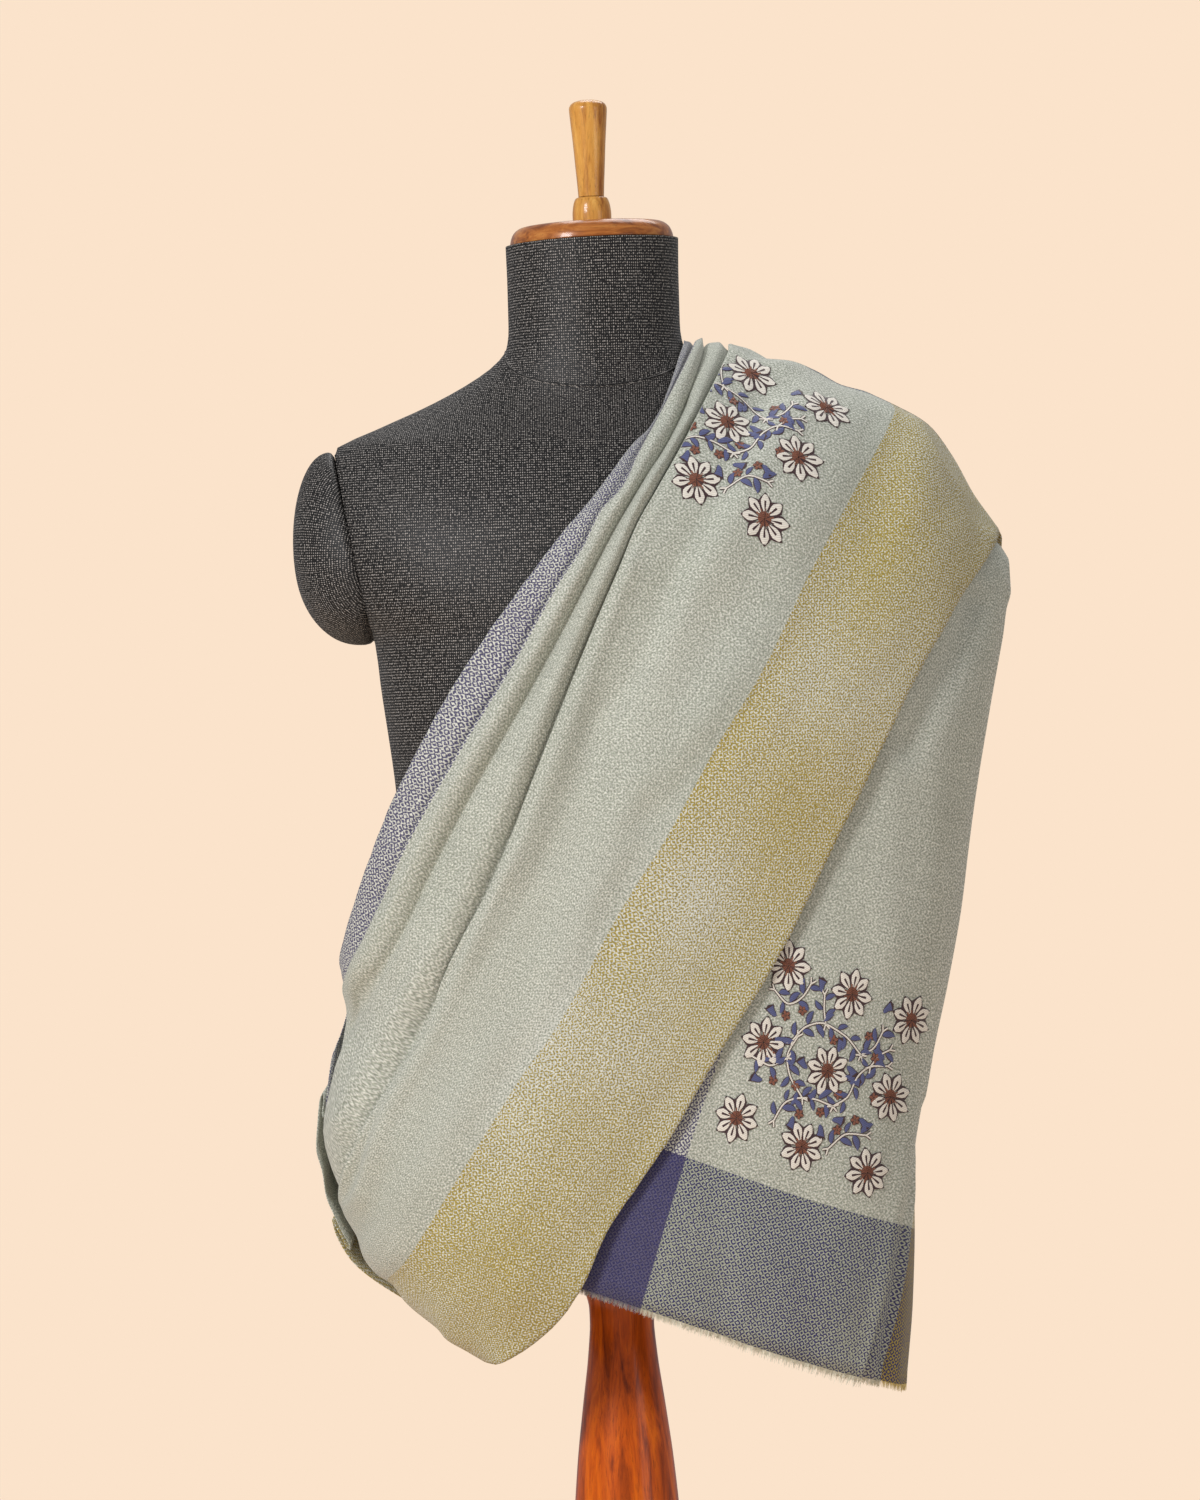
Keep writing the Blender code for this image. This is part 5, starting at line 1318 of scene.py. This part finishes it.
def turned_piece(name, profile, foot, tilt, node, material):
    """A lathe-turned piece from its profile in mm, spun round the pole's axis."""
    corners = np.array(profile, float)
    shares = np.linspace(0, len(corners) - 1, PROFILE_FINER * (len(corners) - 1) + 1)
    line = curve_through(range(len(corners)), corners)(shares)
    outline = [(0.0, line[0, 1]), *line, (0.0, line[-1, 1])]
    work = bmesh.new()
    verts = [work.verts.new((radius * MM, 0, height * MM)) for radius, height in outline]
    edges = [work.edges.new(pair) for pair in zip(verts, verts[1:])]
    bmesh.ops.spin(
        work, geom=verts + edges, axis=(0, 0, 1), cent=(0, 0, 0), angle=TURN,
        steps=TURNING_STEPS, use_merge=True,
    )
    bmesh.ops.remove_doubles(work, verts=work.verts, dist=TURNED_WELD)
    bmesh.ops.recalc_face_normals(work, faces=work.faces)
    place = Matrix.Translation(foot) @ Matrix.Rotation(-tilt, 4, "Y")
    bmesh.ops.transform(work, matrix=place, verts=work.verts)
    mesh = mesh_of(name, work)
    mesh.shade_smooth()
    mesh.set_sharp_from_angle(angle=TURNED_SHARP)
    made = piece(name, mesh, [material])
    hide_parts(node)
    return made


# ---- materials
# width in mm of one ring of a woven diamond
TWILL_RING = 2.4
# grain in cells of 1.4 mm
GRAIN_SCALE = 1 / (1.4 * MM)
# metres by which raised threads carry a colour past its line
RAGGED = 0.0012
# width in mm of one ridge of stitching, and the scale that makes a wave's bands a metre wide
STITCH_RIDGE = 0.9
WAVE_SHARE = 0.314


def linear(hex_colour):
    """A hex sRGB colour as linear RGBA."""
    channels = [int(hex_colour[k:k + 2], 16) / 255 for k in (0, 2, 4)]
    return (*[c / 12.92 if c <= 0.04045 else ((c + 0.055) / 1.055) ** 2.4 for c in channels], 1.0)


def added(tree, kind, inputs=None, **settings):
    """A node with its settings; each input takes a value, a socket or a node's first output."""
    made = tree.nodes.new("ShaderNode" + kind)
    for key, value in settings.items():
        setattr(made, key, value)
    for key, value in (inputs or {}).items():
        if isinstance(value, bpy.types.Node):
            value = value.outputs[0]
        if isinstance(value, bpy.types.NodeSocket):
            tree.links.new(value, made.inputs[key])
        else:
            made.inputs[key].default_value = value
    return made


def started(name, **sockets):
    """A new material and its tree, with constants set on the shader's own sockets."""
    material = bpy.data.materials.new(name)
    material.use_nodes = True
    tree = material.node_tree
    shader = tree.nodes["Principled BSDF"]
    for key, value in sockets.items():
        shader.inputs[key.replace("_", " ")].default_value = value
    return material, tree


def finished(material, colour, **bump):
    """A material whose shader takes this colour, and a bump where one is given."""
    tree = material.node_tree
    shader = tree.nodes["Principled BSDF"]
    tree.links.new(colour, shader.inputs["Base Color"])
    if bump:
        tree.links.new(added(tree, "Bump", bump).outputs[0], shader.inputs["Normal"])
    return material


def cloth_map(tree):
    """Cloth coordinates as one vector, and U and V apart."""
    cloth = added(tree, "UVMap", uv_map="Cloth")
    parts = added(tree, "SeparateXYZ", {0: cloth})
    return cloth, parts.outputs[0], parts.outputs[1]


def by_selvedge(tree, u, indigo, field, yellow):
    """The yarn's colour across the width: indigo selvedge, field, yellow selvedge."""
    colour = linear(field)
    for side, limit, dyed in (
        ("LESS_THAN", INDIGO_BORDER, indigo), ("GREATER_THAN", CLOTH_WIDTH - YELLOW_BORDER, yellow),
    ):
        inside = added(tree, "Math", {0: u, 1: limit}, operation=side)
        mixed = added(tree, "Mix", {0: inside, 6: colour, 7: linear(dyed)}, data_type="RGBA")
        colour = mixed.outputs[2]
    return colour


def pashmina_twill(looks):
    """Fine goat wool in diamond twill. Dry and matt, with a soft bloom; two threads of unlike
    colour give a salt-and-pepper grain in rings of small diamonds. Threads are drawn about
    twice as coarse as they are, to show."""
    material, tree = started(
        "pashmina_diamond_twill", Roughness=0.92, Sheen_Weight=0.18, Sheen_Roughness=0.45,
        Specular_IOR_Level=0.15,
    )
    cloth, u, v = cloth_map(tree)
    half_repeat = looks.twill_repeat * MM / 2
    rise_u = added(tree, "Math", {0: u, 1: half_repeat}, operation="PINGPONG")
    rise_v = added(tree, "Math", {0: v, 1: half_repeat}, operation="PINGPONG")
    ring = added(tree, "Math", {0: rise_u, 1: rise_v}, operation="ADD")
    ring = added(tree, "Math", {0: ring, 1: TURN / (TWILL_RING * MM)}, operation="MULTIPLY")
    ring = added(tree, "Math", {0: ring}, operation="SINE")
    # the pale weft shows where a ring, uneven spinning and the attribute read here together raise it;
    # that attribute holds raised fibres and painted sheen, which brings up the pale weft where the cloth
    # faces the light
    spun = added(tree, "TexNoise", {"Vector": cloth, "Scale": GRAIN_SCALE, "Detail": 0.5})
    uneven = added(tree, "Math", {0: spun, 1: 3.8, 2: -2.0}, operation="MULTIPLY_ADD")
    nap_and_sheen = added(tree, "Attribute", attribute_name="nap_and_sheen").outputs["Fac"]
    # painted sheen and raised fibres together, centred on 0
    nap_and_sheen_lift = added(tree, "Math", {0: nap_and_sheen, 1: 1.0, 2: -0.5}, operation="MULTIPLY_ADD")
    weave = added(tree, "Math", {0: ring, 1: 0.8, 2: uneven}, operation="MULTIPLY_ADD")
    weave = added(tree, "Math", {0: weave, 1: nap_and_sheen_lift}, operation="ADD")
    up = added(tree, "MapRange", {0: weave, 1: -0.3, 2: 0.26, 3: 0.0, 4: 1.0})
    # colours meet in a ragged line, a thread or two deep
    shift_u = added(tree, "Math", {0: up, 1: RAGGED, 2: u}, operation="MULTIPLY_ADD")
    shift_v = added(tree, "Math", {0: up, 1: RAGGED, 2: v}, operation="MULTIPLY_ADD")
    warp = by_selvedge(tree, shift_u, looks.indigo_warp, looks.sage_warp, looks.yellow_warp)
    in_band = added(tree, "Math", {0: shift_v, 1: WEFT_BAND}, operation="LESS_THAN")
    pale, dyed = linear(looks.pale_weft), linear(looks.indigo_weft)
    weft = added(tree, "Mix", {0: in_band, 6: pale, 7: dyed}, data_type="RGBA")
    colour = added(tree, "Mix", {0: up, 6: warp, 7: weft.outputs[2]}, data_type="RGBA")
    grain = added(tree, "TexNoise", {"Vector": cloth, "Scale": GRAIN_SCALE, "Detail": 2.0})
    grain = added(tree, "MapRange", {0: grain, 1: 0.3, 2: 0.7, 3: 0.66, 4: 1.34})
    tone = grain
    for streak in ((2.2, 46.0), (70.0, 2.4)):
        lengths = tuple(1 / (length * MM) for length in streak)
        stretched = added(tree, "Mapping", {"Vector": cloth, "Scale": (*lengths, 1.0)})
        slubs = added(tree, "TexNoise", {"Vector": stretched, "Scale": 1.0, "Detail": 1.0})
        slubs = added(tree, "MapRange", {0: slubs, 1: 0.25, 2: 0.75, 3: 0.94, 4: 1.06})
        tone = added(tree, "Math", {0: tone, 1: slubs}, operation="MULTIPLY")
    shaded = added(tree, "VectorMath", {0: colour.outputs[2], 1: tone}, operation="MULTIPLY")
    height = added(tree, "Math", {0: grain, 1: up}, operation="ADD")
    return finished(material, shaded.outputs[0], Strength=0.6, Distance=0.0003, Height=height)


def cut_yarn(looks):
    """Loose ends of the warp: the same wool, unbleached on the field, dyed at the selvedges."""
    material, tree = started("pashmina_cut_yarn", Roughness=0.9, Sheen_Weight=0.2)
    _, u, _ = cloth_map(tree)
    colour = by_selvedge(tree, u, looks.indigo_warp, looks.fringe_cream, looks.yellow_fringe)
    return finished(material, colour)


def embroidery_thread(name, hex_colour):
    """Stranded wool thread laid in close stitches: fine ridges side by side, a slight lustre."""
    material, tree = started(name, Roughness=0.62, Sheen_Weight=0.15, Specular_IOR_Level=0.35)
    cloth = added(tree, "UVMap", uv_map="Cloth")
    scale = WAVE_SHARE / (STITCH_RIDGE * MM)
    stitches = added(
        tree, "TexWave", {"Vector": cloth, "Scale": scale, "Distortion": 1.5},
        bands_direction="DIAGONAL",
    ).outputs["Fac"]
    shade = added(tree, "MapRange", {0: stitches, 1: 0.0, 2: 1.0, 3: 0.80, 4: 1.10})
    colour = added(tree, "VectorMath", {0: linear(hex_colour)[:3], 1: shade}, operation="MULTIPLY")
    return finished(material, colour.outputs[0], Strength=0.6, Distance=0.0002, Height=stitches)


def black_jersey(looks, name="black_mesh_jersey", shade="100F0F"):
    """Polyester mesh jersey stretched over the padding: black, with rows of tiny raised loops
    that catch the light unevenly; that light is painted into the colour as lighter glints on the loops.
    The loops are drawn coarser than they are, to show."""
    material, tree = started(name, Roughness=0.55, Specular_IOR_Level=0.3)
    cloth, u, v = cloth_map(tree)
    phases = []
    for way, pitch in ((u, looks.jersey_pitch), (v, looks.jersey_pitch * 1.25)):
        phases.append(added(tree, "Math", {0: way, 1: TURN / (pitch * MM)}, operation="MULTIPLY"))
    rows = []
    for joined in ("ADD", "SUBTRACT"):
        phase = added(tree, "Math", {0: phases[0], 1: phases[1]}, operation=joined)
        rows.append(added(tree, "Math", {0: phase}, operation="SINE"))
    loops = added(tree, "Math", {0: rows[0], 1: rows[1]}, operation="MULTIPLY")
    spark = added(tree, "TexNoise", {"Vector": cloth, "Scale": GRAIN_SCALE, "Detail": 1.0})
    loops = added(tree, "Math", {0: spark, 1: 3.4, 2: loops}, operation="MULTIPLY_ADD")
    # painted highlight: where loops and noise run high, the base colour is lit, as glints
    glint = added(tree, "MapRange", {0: loops, 1: 2.08, 2: 2.6, 3: 0.0, 4: 1.0})
    dark, lit = linear(shade), linear(looks.jersey_glint)
    colour = added(tree, "Mix", {0: glint, 6: dark, 7: lit}, data_type="RGBA")
    return finished(material, colour.outputs[2], Strength=0.8, Distance=0.0004, Height=glint)


def varnished_wood(name, pale, middle, dark, grain, roughness, coat):
    """Turned hardwood under clear varnish: long streaks of grain and short dark pores.
    grain is the streaks' length in mm along X, Y and Z."""
    material, tree = started(
        name, Roughness=roughness, Coat_Weight=coat, Coat_Roughness=0.12, Specular_IOR_Level=0.2,
    )
    place = added(tree, "TexCoord").outputs["Object"]
    scale = tuple(1 / (length * MM) for length in grain)
    stretched = added(tree, "Mapping", {"Vector": place, "Scale": scale})
    streaks = added(
        tree, "TexNoise",
        {"Vector": stretched, "Scale": 1.0, "Detail": 6.0, "Roughness": 0.62, "Distortion": 0.7},
    )
    ramp = added(tree, "ValToRGB", {0: streaks})
    stops = ramp.color_ramp.elements
    stops[0].position, stops[0].color = 0.32, linear(dark)
    stops[1].position, stops[1].color = 0.70, linear(pale)
    stops.new(0.50).color = linear(middle)
    fine = added(
        tree, "TexNoise", {"Vector": stretched, "Scale": 7.0, "Detail": 3.0, "Roughness": 0.7},
    )
    pores = added(tree, "MapRange", {0: fine, 1: 0.30, 2: 0.46, 3: 0.62, 4: 1.0})
    colour = added(tree, "VectorMath", {0: ramp.outputs[0], 1: pores}, operation="MULTIPLY")
    return finished(material, colour.outputs[0], Strength=0.12, Distance=0.0003, Height=fine)


def pale_floor(looks):
    """Matt painted studio floor: nearly even, so that it only grounds the stand."""
    material, tree = started("matt_studio_floor", Roughness=0.85)
    place = added(tree, "TexCoord").outputs["Object"]
    cloudy = added(tree, "TexNoise", {"Vector": place, "Scale": 3.0})
    tone = added(tree, "MapRange", {0: cloudy, 1: 0.3, 2: 0.7, 3: 0.97, 4: 1.02})
    wall = linear(looks.backdrop)[:3]
    colour = added(tree, "VectorMath", {0: wall, 1: tone}, operation="MULTIPLY")
    return finished(material, colour.outputs[0])


# ---- properties, operators, panel
def hex_property(name, default, description):
    return StringProperty(name=name, default=default, description=description, maxlen=6)


class ShawlLooks(bpy.types.PropertyGroup):
    twill_repeat: FloatProperty(
        name="Twill repeat", default=4.8, min=0.5, max=8.0,
        description="Width of one diamond of the weave, in mm",
    )
    fringe_length: FloatProperty(
        name="Fringe length", default=0.0052, min=0.001, max=0.05, unit="LENGTH",
        description="Length of the cut yarn ends below a hem",
    )
    fringe_pitch: FloatProperty(
        name="Fringe pitch", default=0.0007, min=0.0004, max=0.005, unit="LENGTH",
        description="Distance from one yarn end to the next",
    )
    jersey_pitch: FloatProperty(
        name="Jersey pitch", default=3.2, min=0.5, max=8.0,
        description="Distance between the form cover's loops, in mm",
    )
    sage_warp: hex_property("Sage warp", "A6AA9B", "Warp yarn of the field")
    indigo_warp: hex_property("Indigo warp", "5A5771", "Warp yarn of the indigo selvedge")
    yellow_warp: hex_property("Yellow warp", "A4924A", "Warp yarn of the yellow selvedge")
    pale_weft: hex_property("Pale weft", "C2C2B7", "Weft yarn of the field")
    indigo_weft: hex_property("Indigo weft", "36355C", "Weft yarn of the band at each end")
    fringe_cream: hex_property("Fringe on the field", "DAD6C2", "Yarn ends of the field")
    yellow_fringe: hex_property("Fringe on yellow", "CDB878", "Yarn ends of the yellow selvedge")
    jersey_glint: hex_property("Jersey loops", "A8A29C", "Loops of the form's cover in the light")
    backdrop: hex_property("Backdrop", "FBE3CB", "Colour of the studio's wall and floor")


class SHAWL_OT_dress_form(bpy.types.Operator):
    """Cover the torso and its arm caps in black jersey, with their seams"""
    bl_idname = "shawl.dress_form"
    bl_label = "Dress form"

    def execute(self, context):
        looks = context.scene.shawl_looks
        jersey = black_jersey(looks)
        seam = black_jersey(looks, "black_seam_thread", "0B0A0A")
        wrapped_body(jersey)
        wrapped_arm_cap("padded_cap_right", 1, "form_arm_cap_right", jersey)
        wrapped_arm_cap("padded_cap_left", -1, "form_arm_cap_left", jersey)
        form_seams(jersey, seam)
        return {"FINISHED"}


class SHAWL_OT_turned_wood(bpy.types.Operator):
    """Turn the cap, bulb and handle on the neck, and the pole and base below"""
    bl_idname = "shawl.turned_wood"
    bl_label = "Turned wood"

    def execute(self, context):
        disc = varnished_wood(
            "varnished_beech_disc", "C98744", "A9632A", "733A12", (70, 9, 5), 0.32, 0.35,
        )
        grip = varnished_wood(
            "varnished_beech_grip", "E6AE58", "CF9140", "9A5C20", (6, 6, 60), 0.34, 0.35,
        )
        red = varnished_wood(
            "varnished_sheesham", "E36E03", "BC4F02", "6A2401", (9, 9, 120), 0.36, 0.2,
        )
        on_neck = Vector((0, 0, NECK_TOP + SEAM_GAP))
        on_cap = on_neck + Vector((HANDLE_ASIDE, 0, 0))
        ground = Vector((0, 0, 0))
        for name, profile, foot, tilt, node, material, slot in (
            ("cap_disc", CAP_PROFILE, on_neck, NECK_TILT, "neck_cap", disc, "honey_wood"),
            ("grip_bulb", BULB_PROFILE, on_cap, HANDLE_TILT, "handle_bulb", grip, "honey_wood"),
            ("grip", HANDLE_PROFILE, on_cap, HANDLE_TILT, "neck_handle", grip, "honey_wood"),
            ("flange_disc", FLANGE_PROFILE, ground, 0, "stand_flange", red, "red_brown_wood"),
            ("turned_pole", POLE_PROFILE, ground, 0, "stand_pole", red, "red_brown_wood"),
            ("turned_base", BASE_PROFILE, ground, 0, "stand_base", red, "red_brown_wood"),
        ):
            turned_piece(name, profile, foot, tilt, node, material)
        return {"FINISHED"}


class SHAWL_OT_cloth(bpy.types.Operator):
    """Lay the four stretches of the woven length over the form, with fringe and embroidery"""
    bl_idname = "shawl.cloth"
    bl_label = "Shawl"

    def execute(self, context):
        looks = context.scene.shawl_looks
        twill = pashmina_twill(looks)
        yarn = cut_yarn(looks)
        threads = [
            embroidery_thread("cream_wool_stitch", "E4DDD0"),
            embroidery_thread("rust_wool_stitch", "85533F"),
            embroidery_thread("indigo_wool_stitch", "555A82"),
            embroidery_thread("brown_outline_stitch", "402A2C"),
        ]
        sash = cloth_sheet("sash", laid_sash(), "shawl_front_sash", twill)
        shoulder_end = cloth_sheet("shoulder_end", laid_shoulder_end(), "shawl_shoulder_end", twill)
        back = cloth_sheet("back_stretch", laid_back(), "shawl_back_stretch", twill)
        hanging = cloth_sheet("hanging_end", laid_hanging(), "shawl_hanging_end", twill)
        length, pitch = looks.fringe_length, looks.fringe_pitch
        columns = laid_hanging().u.shape[1]
        one_pass = columns * (HANG_COLUMNS + 1) // (5 * (HANG_COLUMNS + 1) + 4)
        front = slice(0, one_pass)
        inner = slice(one_pass, columns)
        growing = (0.75 * length, 1.5 * length)
        front_fringe = yarn_ends("fringe_front", laid_hanging(), front, growing, pitch, yarn)
        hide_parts("fringe_hanging_front")
        even = (length, length)
        inner_fringe = yarn_ends("fringe_inner", laid_hanging(), inner, even, pitch, yarn)
        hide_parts("fringe_hanging_inner")
        every = slice(0, laid_shoulder_end().u.shape[1])
        end_fringe = yarn_ends("fringe_shoulder", laid_shoulder_end(), every, even, pitch, yarn)
        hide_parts("fringe_shoulder_end")

        front_columns = np.arange(one_pass)
        anchor = seen_at(laid_hanging(), front_columns, *HANGING_FLOWER)
        corner = embroidered(
            "hanging_ornament", laid_hanging(), anchor, HANGING_SCALE, HANGING_SHEAR,
            lambda place: True, threads,
        )
        main_panel = np.arange(*MAIN_PANEL)
        anchor = seen_at(laid_sash(), main_panel, *SHOULDER_FLOWER)
        shoulder_corner = embroidered(
            "shoulder_ornament", laid_sash(), anchor, SHOULDER_SCALE, SHOULDER_SHEAR,
            lambda place: place[0] > WORKED_FROM, threads,
        )
        return {"FINISHED"}


# the middle flower of each corner ornament, as (x, height) in mm of the pole's plane
HANGING_FLOWER = (148.2, 874.6)
SHOULDER_FLOWER = (91.3, 1329.6)
HANGING_SCALE = (0.87, -1.0)
SHOULDER_SCALE = (0.95, 1.0)
HANGING_SHEAR = 0.075
SHOULDER_SHEAR = 0.155
# the shoulder's corner is worked from this place along the weft, in mm, on these laid columns
WORKED_FROM = -24
MAIN_PANEL = (24 * SASH_FINER, 35 * SASH_FINER)

CAMERA_X = -0.0042
CAMERA_DISTANCE = 4.5
CAMERA_HEIGHT = 1.1035
CAMERA_ROLL = math.radians(-1.6)
FRAME_HEIGHT = 1.05
SENSOR_HEIGHT = 36.0
FLOOR_SIDE = 6.0
LIGHTS_AIM = (0.0, 0.0, 1.08)
# name, place, width and height in metres, watts, colour
SOFTBOXES = (
    ("key_softbox", (-2.3, -3.0, 2.7), (1.0, 1.2), 116, "FBFCFF"),
    ("fill_softbox", (2.6, -2.4, 1.4), (1.4, 1.8), 14, "FBFBFF"),
    ("top_softbox", (0.3, 1.0, 3.0), (1.4, 1.4), 24, "FFFFFF"),
)
# light of the room on the shawl, which the camera doesn't see
ROOM_COLOUR = "F4F4F6"
ROOM_STRENGTH = 0.40


def soft_light(name, place, size, watts, colour):
    data = bpy.data.lights.new(name, "AREA")
    data.shape = "RECTANGLE"
    data.size, data.size_y = size
    data.energy = watts
    data.color = linear(colour)[:3]
    light = bpy.data.objects.new(name, data)
    bpy.context.scene.collection.objects.link(light)
    light.location = place
    light.rotation_euler = (Vector(LIGHTS_AIM) - Vector(place)).to_track_quat("-Z", "Y").to_euler()


class SHAWL_OT_stage(bpy.types.Operator):
    """Set the pale floor, the soft lights and the camera"""
    bl_idname = "shawl.stage"
    bl_label = "Stage"

    def execute(self, context):
        looks = context.scene.shawl_looks
        scene = context.scene
        work = bmesh.new()
        bmesh.ops.create_grid(work, x_segments=1, y_segments=1, size=FLOOR_SIDE / 2)
        mesh = mesh_of("studio_floor", work)
        mesh.materials.append(pale_floor(looks))
        floor = bpy.data.objects.new("studio_floor", mesh)
        scene.collection.objects.link(floor)

        world = bpy.data.worlds.new("studio")
        world.use_nodes = True
        scene.world = world
        tree = world.node_tree
        wall = tree.nodes["Background"]
        wall.inputs[0].default_value = linear(looks.backdrop)
        wall.inputs[1].default_value = 1.0
        fill = added(tree, "Background", {0: linear(ROOM_COLOUR), 1: ROOM_STRENGTH})
        seen = added(tree, "LightPath").outputs["Is Camera Ray"]
        both = added(tree, "MixShader", {0: seen, 1: fill, 2: wall})
        tree.links.new(both.outputs[0], tree.nodes["World Output"].inputs[0])
        scene.view_settings.view_transform = "Standard"

        for softbox in SOFTBOXES:
            soft_light(*softbox)

        lens = bpy.data.cameras.new("camera")
        lens.sensor_width = SENSOR_HEIGHT
        lens.lens = SENSOR_HEIGHT * CAMERA_DISTANCE / FRAME_HEIGHT
        camera = bpy.data.objects.new("camera", lens)
        scene.collection.objects.link(camera)
        camera.matrix_world = (
            Matrix.Translation((CAMERA_X, -CAMERA_DISTANCE, CAMERA_HEIGHT))
            @ Matrix.Rotation(math.pi / 2, 4, "X")
            @ Matrix.Rotation(CAMERA_ROLL, 4, "Z")
        )
        scene.camera = camera
        return {"FINISHED"}


class SHAWL_PT_panel(bpy.types.Panel):
    bl_idname = "SHAWL_PT_panel"
    bl_label = "Draped shawl"
    bl_space_type = "VIEW_3D"
    bl_region_type = "UI"
    bl_category = "Shawl"

    def draw(self, context):
        for operator in OPERATORS:
            self.layout.operator(operator.bl_idname)
        looks = context.scene.shawl_looks
        for key in ShawlLooks.__annotations__:
            self.layout.prop(looks, key)


OPERATORS = (SHAWL_OT_dress_form, SHAWL_OT_turned_wood, SHAWL_OT_cloth, SHAWL_OT_stage)
CLASSES = (ShawlLooks, *OPERATORS, SHAWL_PT_panel)


def register():
    for kind in CLASSES:
        bpy.utils.register_class(kind)
    bpy.types.Scene.shawl_looks = bpy.props.PointerProperty(type=ShawlLooks)


def unregister():
    del bpy.types.Scene.shawl_looks
    for kind in reversed(CLASSES):
        bpy.utils.unregister_class(kind)


def main():
    register()
    bpy.ops.shawl.dress_form()
    bpy.ops.shawl.turned_wood()
    bpy.ops.shawl.cloth()
    bpy.ops.shawl.stage()
    bpy.context.view_layer.update()


if __name__ == "__main__":
    main()
